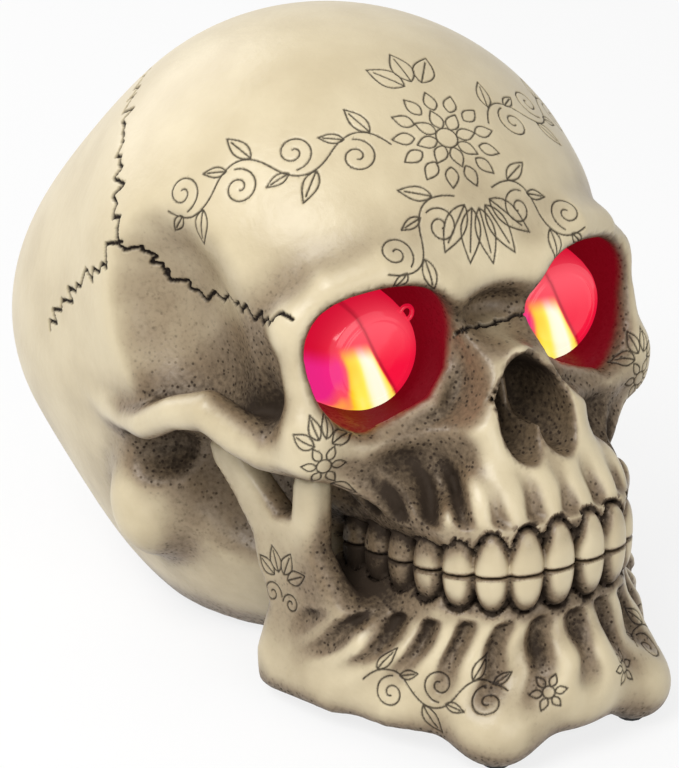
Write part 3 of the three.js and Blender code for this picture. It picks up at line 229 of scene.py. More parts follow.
def upright_wall(x, y, z, points):
    best = np.full(x.shape, 1e9)
    for a, b in zip(points[:-1], points[1:]):
        ex, ey = b[0] - a[0], b[1] - a[1]
        t = np.clip(((x - a[0]) * ex + (y - a[1]) * ey) / (ex * ex + ey * ey), 0, 1)
        off = np.hypot(x - a[0] - ex * t, y - a[1] - ey * t)
        rise, tall, thick = z - mix(a[2], b[2], t), mix(a[3], b[3], t), mix(a[4], b[4], t)
        k0 = np.hypot(off / thick, rise / tall)
        k1 = np.hypot(off / thick**2, rise / tall**2)
        best = np.minimum(best, k0 * (k0 - 1) / np.maximum(k1, 1e-9))
    return best


def side_plate(x, y, z, outline, side, half, rounding):
    d = np.full(x.shape, 1e9)
    inside = np.zeros(x.shape, bool)
    for a, b in zip(outline, outline[-1:] + outline[:-1]):
        ey, ez = b[0] - a[0], b[1] - a[1]
        t = np.clip(((y - a[0]) * ey + (z - a[1]) * ez) / (ey * ey + ez * ez), 0, 1)
        d = np.minimum(d, np.hypot(y - a[0] - ey * t, z - a[1] - ez * t))
        if ez:
            inside ^= ((a[1] > z) != (b[1] > z)) & (y < ey * (z - a[1]) / ez + a[0])
    q = np.where(inside, -d, d) + rounding
    w = np.abs(x - side) - half + rounding
    return np.hypot(np.maximum(q, 0), np.maximum(w, 0)) + np.minimum(np.maximum(q, w), 0) - rounding


def orbit_bowl(side, y, z):
    (cx, cy, cz), (hx, hy, hz), power = ORBIT["centre"], ORBIT["half"], ORBIT["power"]
    c, s = math.cos(ORBIT["roll"]), math.sin(ORBIT["roll"])
    u = np.abs((c * (side - cx) - s * (z - cz)) / hx) ** power
    v = np.abs((s * (side - cx) + c * (z - cz)) / hz) ** power
    w = np.abs((y - cy) / hy) ** power
    return ((u + v + w) ** (1 / power) - 1) * ORBIT["scale"]


def orbit_rim(side, z):
    """Place in y of the orbit's edge, at the angle of a point round the orbit."""
    (cx, _, cz) = ORBIT["centre"]
    return np.interp(np.degrees(np.arctan2(z - cz, side - cx)), *zip(*ORBIT_RIM))


# Dental arch: arc length from the middle, and the place of each tooth
turn = np.linspace(0, math.pi / 2, 2001)
arch_x = ARCH_HALF * np.sin(turn) ** (2 / ARCH_POWER)
arch_y = ARCH_BACK - ARCH_DEPTH * np.maximum(np.cos(turn), 0) ** (2 / ARCH_POWER)
arch_s = np.r_[0, np.cumsum(np.hypot(np.diff(arch_x), np.diff(arch_y)))]
pitch = arch_s[-1] / TEETH_PER_SIDE


def bite_height(y):
    return BITE_HEIGHT + BITE_SLOPE * (y - (ARCH_BACK - ARCH_DEPTH))


def on_arch(s):
    """Point, direction along and direction outwards at an arc length."""
    here = np.array([np.interp(s, arch_s, arch_x), np.interp(s, arch_s, arch_y)])
    behind = np.array([np.interp(s - 0.2, arch_s, arch_x), np.interp(s - 0.2, arch_s, arch_y)])
    ahead = np.array([np.interp(s + 0.2, arch_s, arch_x), np.interp(s + 0.2, arch_s, arch_y)])
    along = (ahead - behind) / np.linalg.norm(ahead - behind)
    return here, along, np.array([along[1], -along[0]])


def tooth_place(number):
    here, along, out = on_arch((number + 0.5) * pitch)
    return here - out * TOOTH_INSET, along, out, bite_height(here[1]), number / (TEETH_PER_SIDE - 1)


def gum_line(rows):
    """Plan points of a wall that follows the arch."""
    points = []
    for share, inset, *section in rows:
        here, _, out = on_arch(share * arch_s[-1])
        points.append((*(here - out * inset), *section))
    return points


tooth_places = [tooth_place(n) for n in range(TEETH_PER_SIDE)]
upper_gum, lower_gum = gum_line(GUM_UPPER), gum_line(GUM_LOWER)


def tooth(side, y, z, place, front, grow):
    centre, along, out, bite, back = place
    dx, dy = side - centre[0], y - centre[1]
    v = np.abs(z - bite) / (mix(front, TOOTH_BACK, back) + grow)
    half_width = pitch * TOOTH_FILL * (1 - TOOTH_TAPER * np.minimum(v, 1) ** 2)
    u = np.abs(dx * along[0] + dy * along[1]) / (half_width + grow)
    n = np.abs(dx * out[0] + dy * out[1]) / (TOOTH_DEPTH + grow)
    return ((u**TOOTH_POWER + n**TOOTH_POWER + v**TOOTH_POWER) ** (1 / TOOTH_POWER) - 1) * TOOTH_DEPTH


def with_teeth(d, side, y, z, front, upwards):
    """Cuts a groove round each tooth, then adds the tooth up to the bite."""
    out, back, up = TEETH_ROOM
    near = (side < ARCH_HALF + out) & (y < ARCH_BACK + back) & (np.abs(z - BITE_HEIGHT) < up)
    if not near.any():
        return d
    a, b, c = side[near], y[near], z[near]
    gum, crown = d[near], np.full(a.shape, 1e9)
    for place in tooth_places:
        gum = np.maximum(gum, -tooth(a, b, c, place, front, TOOTH_GROOVE))
        crown = np.minimum(crown, tooth(a, b, c, place, front, 0))
    rise = (c - bite_height(b)) * (1 if upwards else -1)
    d = d.copy()
    d[near] = np.minimum(gum, np.maximum(crown, BITE_GAP / 2 - rise))
    return d


def root_flutes(side, y, z, gum, sign):
    """Upright grooves between the roots, above or below the gum line."""
    u = np.maximum(side / ARCH_HALF, 0) ** (ARCH_POWER / 2)
    v = np.maximum((ARCH_BACK - y) / ARCH_DEPTH, 0) ** (ARCH_POWER / 2)
    rise = sign * (z - gum)
    s = np.interp(np.arctan2(u, v), turn, arch_s) * (1 - FLUTE_PINCH * np.clip(rise, 0, 25))
    uneven = np.sin(12.9 * np.round(s / pitch) + 4.1 * sign)  # a different number for each groove
    s = s + FLUTE_WANDER * np.sin(0.45 * rise + 3 * uneven)
    between = 0.5 + 0.5 * np.cos(2 * math.pi * s / pitch)
    end = FLUTE_LENGTH + FLUTE_UNEVEN * uneven
    start, side_end = smooth_step(rise, *FLUTE_START), smooth_step(y, *FLUTE_SIDE)
    tip = smooth_step(rise, end + FLUTE_FADE[0], end + FLUTE_FADE[1])
    return start * (1 - tip) * (1 - side_end) * between**FLUTE_NARROW


def upper_flutes(x, y, z):
    return root_flutes(np.abs(x), y, z, bite_height(y) + ROOT_LINE, 1)


def lower_flutes(x, y, z):
    return root_flutes(np.abs(x), y, z, bite_height(y) - ROOT_LINE, -1)


def uncut_bone(x, y, z):
    """The cranium before its orbits and nose are cut."""
    side = np.abs(x)
    d = None
    for form in VAULT:
        e = ellipsoid(x, y, z, form)
        d = e if d is None else blend(d, e, form[3])
    for hollow in (TEMPLE, WINDOW, JAW_SPACE):
        d = carve(d, ellipsoid(side, y, z, hollow), hollow[3])
    face = blend(ellipsoid(side, y, z, FACE), ellipsoid(side, y, z, MAXILLA), MAXILLA[3])
    face = blend(face, upright_wall(side, y - GUM_SLOPE * (z - GUM_FOOT), z, upper_gum), RIDGE_SOFT)
    face = blend(face, ridge(side, y, z, BROW), BROW_SOFT)
    for line in (ORBIT_SIDE, ORBIT_FLOOR, NASAL_BONE, NOSE_RIM, CHEEK_CREST):
        face = blend(face, ridge(side, y, z, line), RIDGE_SOFT)
    face = blend(face, ellipsoid(side, y, z, ZYGOMA), ZYGOMA[3])
    d = blend(d, face, FACE[3])
    d = blend(d, ridge(side, y, z, CHEEK_ARCH), ARCH_SOFT)
    d = blend(d, ellipsoid(side, y, z, MASTOID), MASTOID[3])
    for hollow in (EAR, CHEEK_HOLLOW, NOSE_SIDE, NASION):
        d = carve(d, ellipsoid(side, y, z, hollow), hollow[3])
    d = d + ROOT_FLUTE * upper_flutes(x, y, z)
    for core in (ROOT_CORE, CHEEK_CORE):
        d = blend(d, ridge(side, y, z, core), CORE_SOFT)
    wall = np.maximum(orbit_bowl(side, y, z) - ORBIT_WALL, orbit_rim(side, z) + ORBIT_WALL_BACK - y)
    return np.minimum(d, wall)


def bone(x, y, z):
    """The cranium's outside without its teeth."""
    side = np.abs(x)
    d = carve(uncut_bone(x, y, z), orbit_bowl(side, y, z), ORBIT["soft"])
    d = blend(d, ridge(side, y, z, ORBIT_LIP), LIP_SOFT)
    nose = blend(ellipsoid(side, y, z, NOSE_LOBE), ellipsoid(side, y, z, NOSE_TOP), NOSE_LOBE[3])
    d = carve(d, nose, NOSE_TOP[3])
    return blend(d, side_plate(x, y, z, SEPTUM, 0, SEPTUM_HALF, SEPTUM_ROUND), SEPTUM_SOFT)


def base_opening(x, y, z, size):
    """Upright rounded block below the skull, from under the table up to its top."""
    width, length, corner, top = size
    u = np.abs(x) - width / 2 + corner
    v = np.abs(y - BASE_Y) - length / 2 + corner
    outline = np.hypot(np.maximum(u, 0), np.maximum(v, 0)) + np.minimum(np.maximum(u, v), 0) - corner
    return np.maximum(outline, z - top)


def cranium(x, y, z):
    shell = bone(x, y, z)
    d = with_teeth(shell, np.abs(x), y, z, UPPER_FRONT, True)
    d = np.maximum(d, TABLE_GAP - z)
    hollow = np.maximum(np.maximum(shell + WALL, CAVITY_FRONT - y), CAVITY_FLOOR - z)
    bore = np.hypot(np.abs(x) - LENS_X, z - LENS_Z) - LENS_BORE
    seat = np.maximum(bore, np.maximum(LENS_SEAT[0] - y, y - LENS_SEAT[1]))
    for space in (hollow, seat, base_opening(x, y, z, REBATE), base_opening(x, y, z, HATCH)):
        d = np.maximum(d, -space)
    return d


def jaw_bone(x, y, z):
    """The jaw's outside without its teeth."""
    side = np.abs(x)
    q = 1 + JAW_TAPER * (z - JAW_TAPER_FOOT)
    d = upright_wall(side * q, (y - JAW_MIDDLE) * q + JAW_MIDDLE, z, JAW_BODY)
    for wall in (JAW_SHELF, lower_gum):
        d = blend(d, upright_wall(side, y, z, wall), GUM_SOFT)
    d = blend(d, ellipsoid(side, y, z, CHIN), CHIN[3])
    d = blend(d, ellipsoid(side, y, z, CHIN_CORNER), CHIN_CORNER[3])
    splayed = side - RAMUS_SPLAY * (y - RAMUS_PIVOT)
    d = blend(d, side_plate(splayed, y, z, RAMUS, RAMUS_SIDE, RAMUS_HALF, RAMUS_ROUND), RAMUS_SOFT)
    return d + ROOT_FLUTE * lower_flutes(x, y, z)


def jaw(x, y, z):
    d = with_teeth(jaw_bone(x, y, z), np.abs(x), y, z, LOWER_FRONT, False)
    return np.maximum(np.maximum(d, TABLE_GAP - z), BOND - bone(x, y, z))


def grid_lines(stretches, end):
    """Coordinates from stretches of (start, step), up to an end."""
    lines = []
    stops = [s[0] for s in stretches[1:]] + [end]
    for (start, step), stop in zip(stretches, stops):
        count = max(1, round((stop - start) / (step * 1)))
        lines.append(np.linspace(start, stop, count, endpoint=False))
    return np.concatenate(lines + [[end]])


CORNERS = [(0, 0, 0), (1, 0, 0), (0, 1, 0), (1, 1, 0), (0, 0, 1), (1, 0, 1), (0, 1, 1), (1, 1, 1)]
EDGES = [(a, b) for a in range(8) for b in range(8) if b > a and bin(a ^ b).count("1") == 1]


def surface_net(field, xs, ys, zs):
    """Triangles of a field's zero level. The field is the same on both sides, so half is sampled."""
    shape = (len(xs), len(ys), len(zs))
    half = field(*(a.ravel() for a in np.meshgrid(xs, ys, zs, indexing="ij"))).reshape(shape)
    values = np.concatenate([half[:0:-1], half])
    axes = [np.r_[-xs[:0:-1], xs], ys, zs]
    inside = values < 0
    cells = tuple(n - 1 for n in values.shape)
    count, total = np.zeros(cells, int), np.zeros(cells + (3,))

    def corner(array, c):
        return array[tuple(slice(c[k], c[k] + cells[k]) for k in range(3))]

    for a, b in ((CORNERS[a], CORNERS[b]) for a, b in EDGES):
        fa, fb = corner(values, a), corner(values, b)
        crossed = (fa < 0) != (fb < 0)
        t = np.where(crossed, fa / np.where(crossed, fa - fb, 1), 0)
        for k in range(3):
            total[..., k] += np.where(crossed, a[k] + t * (b[k] - a[k]), 0)
        count += crossed
    active = np.argwhere(count > 0)
    number = np.full(cells, -1)
    number[tuple(active.T)] = np.arange(len(active))
    share = total[tuple(active.T)] / count[tuple(active.T)][:, None]
    low, high = active, active + 1
    points = np.stack([mix(ax[low[:, k]], ax[high[:, k]], share[:, k]) for k, ax in enumerate(axes)], 1)
    quads = []
    for axis in range(3):
        u, v = [k for k in range(3) if k != axis]
        low = [slice(1, -1)] * 3
        low[axis] = slice(0, -1)
        high = list(low)
        high[axis] = slice(1, None)
        changed = inside[tuple(low)] != inside[tuple(high)]
        place = np.argwhere(changed)
        place[:, [u, v]] += 1
        ring = []
        for du, dv in ((-1, -1), (0, -1), (0, 0), (-1, 0)):
            cell = place.copy()
            cell[:, u] += du
            cell[:, v] += dv
            ring.append(number[tuple(cell.T)])
        quad = np.stack(ring, 1)
        outward = inside[tuple(low)][changed] ^ (axis == 1)
        quad[~outward] = quad[~outward][:, ::-1]
        quads.append(quad)
    quads = np.concatenate(quads)
    return points, np.concatenate([quads[:, [0, 1, 2]], quads[:, [0, 2, 3]]])


SLOPE_STEP = 0.05  # distance between the samples that give a slope
FLAT_SQUARE = 0.3  # a squared slope below this counts as this, which bounds the step


def slope(field, p, d):
    ways = SLOPE_STEP * np.eye(3)
    return np.stack([(field(*(p + way).T) - d) / SLOPE_STEP for way in ways], 1)


def newton_step(field, p):
    """Points a step nearer to the field's zero level, and the slope where they came from."""
    d = field(*p.T)
    g = slope(field, p, d)
    return p - g * (d / np.maximum((g * g).sum(1), FLAT_SQUARE))[:, None], g


def settle(field, p, passes=2, limit=1.5):
    """Moves points onto the field's zero level."""
    start = p
    for _ in range(passes):
        p = newton_step(field, p)[0]
    move = p - start
    length = np.linalg.norm(move, axis=1, keepdims=True)
    return start + move * np.minimum(1, limit / np.maximum(length, 1e-9))


def pick(rows, *columns):
    return np.stack([column[rows] for column in columns], 1)


def refine(field, points, faces, values, wanted, passes):
    """Splits edges longer than wanted, with no cracks. New points settle, and get their ends' mean value."""
    for _ in range(passes):
        ends = np.sort(np.stack([faces, np.roll(faces, -1, 1)], -1).reshape(-1, 2), 1)
        key, where = np.unique(ends[:, 0] * len(points) + ends[:, 1], return_inverse=True)
        a, b = key // len(points), key % len(points)
        middle = (points[a] + points[b]) / 2
        split = np.linalg.norm(points[a] - points[b], axis=1) > wanted(middle)
        fresh = np.full(len(key), -1)
        fresh[split] = len(points) + np.arange(split.sum())
        values = np.r_[values, (values[a[split]] + values[b[split]]) / 2]
        points = np.vstack([points, settle(field, middle[split])])
        new = fresh[where].reshape(-1, 3)
        cuts = (new >= 0).sum(1)
        only_cut, after_uncut = np.argmax(new >= 0, 1), (np.argmin(new, 1) + 1) % 3
        first = np.where(cuts == 1, only_cut, np.where(cuts == 2, after_uncut, 0))
        order = (first[:, None] + np.arange(3)) % 3
        v, n = np.take_along_axis(faces, order, 1), np.take_along_axis(new, order, 1)
        one, two, all3 = cuts == 1, cuts == 2, cuts == 3
        faces = np.concatenate([
            v[cuts == 0],
            pick(one, v[:, 0], n[:, 0], v[:, 2]), pick(one, n[:, 0], v[:, 1], v[:, 2]),
            pick(two, n[:, 0], v[:, 1], n[:, 1]), pick(two, v[:, 0], n[:, 0], n[:, 1]),
            pick(two, v[:, 0], n[:, 1], v[:, 2]),
            pick(all3, v[:, 0], n[:, 0], n[:, 2]), pick(all3, n[:, 0], v[:, 1], n[:, 1]),
            pick(all3, n[:, 2], n[:, 1], v[:, 2]), pick(all3, n[:, 0], n[:, 1], n[:, 2]),
        ])
    return points, faces, values


# Engraved lines: strokes are lists of points on the surface
def densify(points, step=0.3):
    points = np.asarray(points, float)
    lengths = np.linalg.norm(np.diff(points, axis=0), axis=1)
    s = np.r_[0, np.cumsum(lengths)]
    even = np.linspace(0, s[-1], max(2, int(s[-1] / step)))
    return np.stack([np.interp(even, s, points[:, k]) for k in range(points.shape[1])], 1)


def on_surface(field, points):
    return settle(field, points, passes=4, limit=20)


def unit(v):
    return v / np.maximum(np.linalg.norm(v, axis=-1, keepdims=True), 1e-9)


def normals_of(field, p):
    return unit(slope(field, p, field(*p.T)))


def suture(field, anchors, swing, wave, seed):
    """A jagged seam of the vault through a few anchor points, with steps and swings of all sizes."""
    random = np.random.default_rng(seed)
    step = 0.5
    line = densify(anchors, step)
    along = unit(np.gradient(line, axis=0))
    across = unit(np.cross(along, normals_of(field, line)))
    length = step * (len(line) - 1)
    places = np.cumsum(random.uniform(0.25, 0.8, int(2 * length / wave)) * wave)
    places = np.r_[0, places[places < length], length]
    offset = np.where(np.arange(len(places)) % 2, 1, -1) * random.uniform(-0.15, 1, len(places)) * swing
    offset[[0, -1]] = 0
    index = np.minimum((places / step).astype(int), len(line) - 1)
    lean = random.uniform(-0.45, 0.45, len(places)) * wave
    corners = line[index] + across[index] * offset[:, None] + along[index] * lean[:, None]
    jag = densify(corners)
    ends = smooth_step(np.minimum(np.arange(len(jag)), np.arange(len(jag))[::-1]), 0, 6)
    return on_surface(field, jag + random.normal(0, 0.14, jag.shape) * ends[:, None])


def spiral(x, y, start, turns, inner, outer):
    t = np.linspace(0, 1, 60)
    angle = start + t * turns * 2 * math.pi
    radius = mix(outer, inner, t)
    return np.stack([x + radius * np.cos(angle), y + radius * np.sin(angle)], 1)


def leaf(x, y, angle, length, width):
    t = np.linspace(0, 1, 20)
    bow = width * np.sin(math.pi * t**0.8)
    shape = [np.stack([t * length, s * bow], 1) for s in (1, -1)] + [np.stack([t * length * 0.8, 0 * t], 1)]
    c, s = math.cos(angle), math.sin(angle)
    return [p @ np.array([[c, s], [-s, c]]) + (x, y) for p in shape]


def daisy(x, y, inner, outer, petals):
    ring = np.linspace(0, 2 * math.pi, 40)
    strokes = [np.stack([x + inner * np.cos(ring), y + inner * np.sin(ring)], 1)]
    for k in range(petals):
        angle = 2 * math.pi * k / petals
        foot_x, foot_y = x + inner * math.cos(angle), y + inner * math.sin(angle)
        strokes += leaf(foot_x, foot_y, angle, outer - inner, (outer - inner) * 0.3)[:2]
    return strokes


def arc(x0, y0, x1, y1, bow):
    t = np.linspace(0, 1, 30)
    lift = bow * 4 * t * (1 - t)
    return np.stack([mix(x0, x1, t) - lift * (y1 - y0), mix(y0, y1, t) + lift * (x1 - x0)], 1)


MARCH = 2  # step of the charts that drawings are laid on


def march(field, start, heading, reach):
    """Rows of surface points, a step apart, straight on from each start point both ways."""
    rows = [start]
    for sign in (1, -1):
        p, way = start, sign * heading
        for _ in range(math.ceil(reach / MARCH)):
            p, g = newton_step(field, p + MARCH * way)
            way = unit(way - unit(g) * (way * unit(g)).sum(1, keepdims=True))
            rows = rows + [p] if sign > 0 else [p] + rows
    return np.array(rows)


def engrave(field, strokes, anchor, right, mirror=False):
    """Wraps a flat drawing on the surface round an anchor, with right as the drawing's x direction."""
    width, height = np.abs(np.concatenate(strokes)).max(0) + MARCH
    start = on_surface(field, np.array([anchor], float))
    normal = normals_of(field, start)
    heading = unit(right - normal * (right * normal).sum(1, keepdims=True))
    row = march(field, start, heading, width)[:, 0]
    up = unit(np.cross(normals_of(field, row), np.gradient(row, axis=0)))
    sheet = march(field, row, up, height)
    middle = np.array([[len(row) // 2], [len(sheet) // 2]])
    laid = []
    for stroke in strokes:
        u, v = densify(stroke).T / MARCH + middle
        i, j = u.astype(int), v.astype(int)
        a, b = (u - i)[:, None], (v - j)[:, None]
        low = mix(sheet[j, i], sheet[j, i + 1], a)
        high = mix(sheet[j + 1, i], sheet[j + 1, i + 1], a)
        laid.append(settle(field, mix(low, high, b), 2, 2))
    return laid + ([p * (-1, 1, 1) for p in laid] if mirror else [])


def moved(strokes, x, y, turn=0):
    c, s = math.cos(turn), math.sin(turn)
    return [p @ np.array([[c, s], [-s, c]]) + (x, y) for p in strokes]


def scroll(length, parts):
    """A running scroll with curls and leaves, from the origin along x."""
    strokes = []
    step = length / parts
    for k in range(parts):
        side = 1 if k % 2 == 0 else -1
        x = k * step
        strokes.append(arc(x, 0, x + step, 0, 0.3 * side))
        curl_x, curl_y = x + step * 0.6, -side * step * 0.16
        strokes.append(spiral(curl_x, curl_y, side * math.pi / 2, side * 1.5, step * 0.05, step * 0.34))
        strokes += leaf(x + step * 0.3, side * step * 0.28, side * 1.0, step * 0.6, step * 0.13)
        strokes += leaf(x + step * 0.75, side * step * 0.2, side * 0.3, step * 0.42, step * 0.09)
    return strokes


def spray(angles, length, width):
    """Leaves fanned round the origin, a little way out from it."""
    strokes = []
    for angle in angles:
        base = 0.28 * length
        strokes += leaf(base * math.cos(angle), base * math.sin(angle), angle, length - base, width)
    return strokes


def cranium_strokes(field):
    coronal = [
        (0, 54, 152), (-22, 50, 150), (-38, 42, 146), (-49, 28, 144), (-57, 17, 138), (-63, 10, 132),
        (-68, 1, 118),
    ]
    rear = [(-68, 1, 118), (-70, 5, 113), (-71, 12, 106), (-70, 24, 99), (-70, 38, 82)]
    front = [
        (-68, 1, 118), (-62.6, -5.4, 117), (-59, -8, 110), (-55, -16, 107), (-55, -33, 110), (-55, -44, 109),
        (-53, -57, 113),
    ]
    nasal = [(-8, -66, 101.5), (-4, -68, 103.5), (0, -68.5, 104.5)]
    heavy = []
    for seed, (anchors, swing, wave) in enumerate(
        [(coronal, 3, 4.4), (rear, 3.4, 5), (front, 2.4, 4.4), (nasal, 0.9, 2.4)]
    ):
        line = suture(field, on_surface(field, densify(anchors, 2)), swing, wave, seed + 3)
        heavy += [line, line * (-1, 1, 1)]
    flower = daisy(0, 0, 3, 9, 8) + daisy(0, 0, 9, 15, 13)[1:]
    forehead, rightwards = (0, -48, 147), (1, 0, 0)
    fine = engrave(field, flower, forehead, rightwards)
    fine += engrave(field, scroll(62, 4), (15, -45, 147), (1, 0.35, 0), mirror=True)
    fine += engrave(field, moved(scroll(30, 2), 0, -16, -0.5), (6, -48, 147), rightwards, mirror=True)
    down = moved(spray([-math.pi / 2 + k for k in (-0.8, -0.4, 0, 0.4, 0.8)], 20, 3), 0, -15)
    fine += engrave(field, down, forehead, rightwards)
    top = moved(spray([math.pi / 2 + k for k in (-0.7, 0, 0.7)], 15, 3), 0, 15)
    fine += engrave(field, top, forehead, rightwards)
    cheek = daisy(0, 0, 2, 6, 6)
    cheek += moved(spray([0.4, 1.2, 2, 2.8], 10, 2), 0, 5) + moved(spray([-0.5, -2.6], 9, 2), 0, -5)
    fine += engrave(field, cheek, (-50, -66, 77), (1, -0.4, 0), mirror=True)
    return heavy, fine


def jaw_strokes(field):
    fine = engrave(field, moved(scroll(40, 3), -20, -2), (-33, -92, 21), (0.7, -0.7, 0), mirror=True)
    fine += engrave(field, daisy(0, 0, 1.6, 5, 6), (-12, -112, 21), (1, -0.2, 0), mirror=True)
    side = spray([0.5, 1.2, 1.9, 2.6], 10, 2)
    side += [spiral(-3, -4, 0, 1.4, 0.5, 3.5), spiral(4, -5, math.pi, -1.4, 0.5, 3)]
    fine += engrave(field, side, (-51, -48, 36), (1, -0.4, 0), mirror=True)
    return [], fine


def nearest(strokes):
    """A function of points that gives the distance to the nearest stroke."""
    if not strokes:
        return lambda p: np.full(len(p), 1e3)
    cloud = np.concatenate(strokes)
    tree = KDTree(len(cloud))
    for i, p in enumerate(cloud):
        tree.insert(p, i)
    tree.balance()
    return lambda p: np.array([tree.find(q)[2] for q in p])


# Reaches and shares of how enclosed a point is, which darkens the bone as antique finish and painted shade
NEAR_REACH = ((1.5, 0.16), (4, 0.2))
FAR_REACH = ((9, 0.24), (18, 0.26), (32, 0.21))


def occlusion(field, p, n, reaches):
    """How enclosed each point is at some reaches, each with its share of the whole."""
    side = np.cross(n, np.where(np.abs(n[:, 2:]) < 0.8, (0, 0, 1), (1, 0, 0)))
    side /= np.linalg.norm(side, axis=1, keepdims=True)
    other = np.cross(n, side)
    lean = 0.7
    ways = [n]
    for angle in np.arange(6) * math.pi / 3:
        around = side * math.cos(angle) + other * math.sin(angle)
        ways.append(n * lean + around * math.sqrt(1 - lean**2))
    total = np.zeros(len(p))
    for reach, weight in reaches:
        for way in ways:
            flat = reach * (1 if way is n else lean)
            total += weight / len(ways) * np.clip(1 - field(*(p + way * reach).T) / flat, 0, 1)
    return total


shift_y = (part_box("foot_pad_1")[0].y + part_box("foot_pad_1")[1].y) / 2 / MM - CHIN_CORNER[0][1]


def to_frame(points):
    return (points + (0, shift_y, 0)) * MM


def mesh_object(name, points, faces, attributes, material):
    mesh = bpy.data.meshes.new(name)
    mesh.from_pydata(to_frame(points).tolist(), [], faces.tolist())
    mesh.polygons.foreach_set("use_smooth", np.ones(len(faces), bool))
    for key, values in attributes.items():
        kind, part = ("FLOAT", "value") if values.ndim == 1 else ("FLOAT_COLOR", "color")
        layer = mesh.attributes.new(key, kind, "POINT")
        layer.data.foreach_set(part, values.astype(np.float32).ravel())
    mesh.materials.append(material)
    mesh.update()
    piece = bpy.data.objects.new(name, mesh)
    bpy.context.scene.collection.objects.link(piece)
    return piece


LINE_HEAVY, LINE_FINE = 0.56, 0.28  # half widths of the engraved lines
DEPTH_HEAVY, DEPTH_FINE = 0.8, 0.3
# Longest edges on the lines, beside them, on the teeth and elsewhere
LINE_EDGE, BESIDE_EDGE, TOOTH_EDGE, ANY_EDGE = 0.45, 1.1, 0.9, 9


# Antique finish and painted shade in patches, the same on both sides
def wash_and_shade_patches(x, y, z):
    total = 0
    for (cx, cy, cz), radius, amount in WASH_AND_SHADE_PATCHES:
        away = (np.abs(x) - cx) ** 2 + (y - cy) ** 2 + (z - cz) ** 2
        total = total + amount * np.exp(-away / radius**2)
    return total


def socket_lamplight_share(x, y, z):
    """1 on the walls of an orbit, fading out over its rim: where the lamp's red light is painted on the bone.
    """
    side = np.abs(x)
    behind = y - orbit_rim(side, z)
    seat = (np.hypot(side - LENS_X, z - LENS_Z) < LENS_BORE + 0.6) & (behind > 4) & (y < LENS_SEAT[1] + 2)
    inner = np.maximum(1 - smooth_step(orbit_bowl(side, y, z), 0.7, 1.1), seat)
    return smooth_step(behind, -2, 1.2) * inner


def casting(name, node, field, outside, flutes, strokes, lines, material):
    points, faces = surface_net(field, *lines)
    points = settle(field, points, 2, 0.8)
    # How enclosed each point is at the far reaches; this darkens it as antique finish and painted shade
    enclosed = occlusion(outside, points, normals_of(field, points), FAR_REACH)
    heavy, fine = strokes
    to_heavy, to_fine = nearest(heavy), nearest(fine)

    def edge_length(p):
        line = np.minimum(to_heavy(p) - 0.4, to_fine(p))
        drawn = np.where(line < 0.75, LINE_EDGE, np.where(line < 2.5, BESIDE_EDGE, ANY_EDGE))
        x, y, z = np.abs(p[:, 0]), p[:, 1], p[:, 2]
        arch = (x / ARCH_HALF) ** ARCH_POWER + (np.maximum(ARCH_BACK - y, 0) / ARCH_DEPTH) ** ARCH_POWER
        biting = (arch > 0.6) & (x < ARCH_HALF + 3) & (y < ARCH_BACK + 2) & (np.abs(z - bite_height(y)) < 15)
        return np.minimum(drawn, np.where(biting, TOOTH_EDGE, ANY_EDGE))

    points, faces, enclosed = refine(field, points, faces, enclosed, edge_length, 3)
    normals = normals_of(field, points)
    x, y, z = points.T
    heavy_ink = 1 - smooth_step(to_heavy(points), LINE_HEAVY * 0.5, LINE_HEAVY * 1.3)
    fine_ink = 1 - smooth_step(to_fine(points), LINE_FINE * 0.5, LINE_FINE * 1.4)
    from_bite = np.abs(z - bite_height(y))
    on_tooth = (np.abs(x) < ARCH_HALF + 2) & (y < ARCH_BACK + 4)
    # Darker along the bite: antique finish and painted shade in the gap between the teeth
    bite = BITE_WASH_AND_SHADE * (1 - smooth_step(from_bite, 0.4, 1.3))
    crown = TOOTH_STAIN * smooth_step(from_bite, 1.5, 10) * (1 - smooth_step(from_bite, 12, 16))
    # Darkening: antique finish and painted shade where enclosed, in the flutes and along the bite, and in
    # patches
    wash_and_shade = enclosed + occlusion(outside, points, normals, NEAR_REACH)
    wash_and_shade += FLUTE_WASH_AND_SHADE * flutes(x, y, z) + on_tooth * (bite + crown) + wash_and_shade_patches(x, y, z)
    # Painted shade on what faces down and near the table
    under = UNDER_SHADE * smooth_step(-normals[:, 2], 0.1, 0.9)
    foot = FOOT_SHADE * (1 - smooth_step(z, 2, 13))
    attributes = {
        "wash_and_shade": wash_and_shade + under + foot,
        "ink": np.maximum(heavy_ink, 0.9 * fine_ink),
        "socket": socket_lamplight_share(x, y, z),
    }
    depth = np.maximum(DEPTH_HEAVY * heavy_ink, DEPTH_FINE * fine_ink)
    piece = mesh_object(name, points - normals * depth[:, None], faces, attributes, material)
    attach(piece, BODY)
    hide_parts(node)


# Materials
def new_material(name):
    material = bpy.data.materials.new(name)
    material.use_nodes = True
    nodes, links = material.node_tree.nodes, material.node_tree.links
    return material, nodes, links, nodes["Principled BSDF"]


def add(nodes, kind, **settings):
    node = nodes.new(kind)
    for key, value in settings.items():
        if hasattr(node, key):
            setattr(node, key, value)
        else:
            node.inputs[key.replace("_", " ")].default_value = value
    return node


def math_node(nodes, links, operation, *values):
    node = add(nodes, "ShaderNodeMath", operation=operation)
    for socket, value in zip(node.inputs, values):
        if isinstance(value, (int, float)):
            socket.default_value = value
        else:
            links.new(value, socket)
    return node.outputs[0]


def range_node(nodes, links, value, low, high):
    node = add(nodes, "ShaderNodeMapRange", interpolation_type="SMOOTHSTEP")
    links.new(value, node.inputs["Value"])
    node.inputs["From Min"].default_value = low
    node.inputs["From Max"].default_value = high
    return node.outputs["Result"]


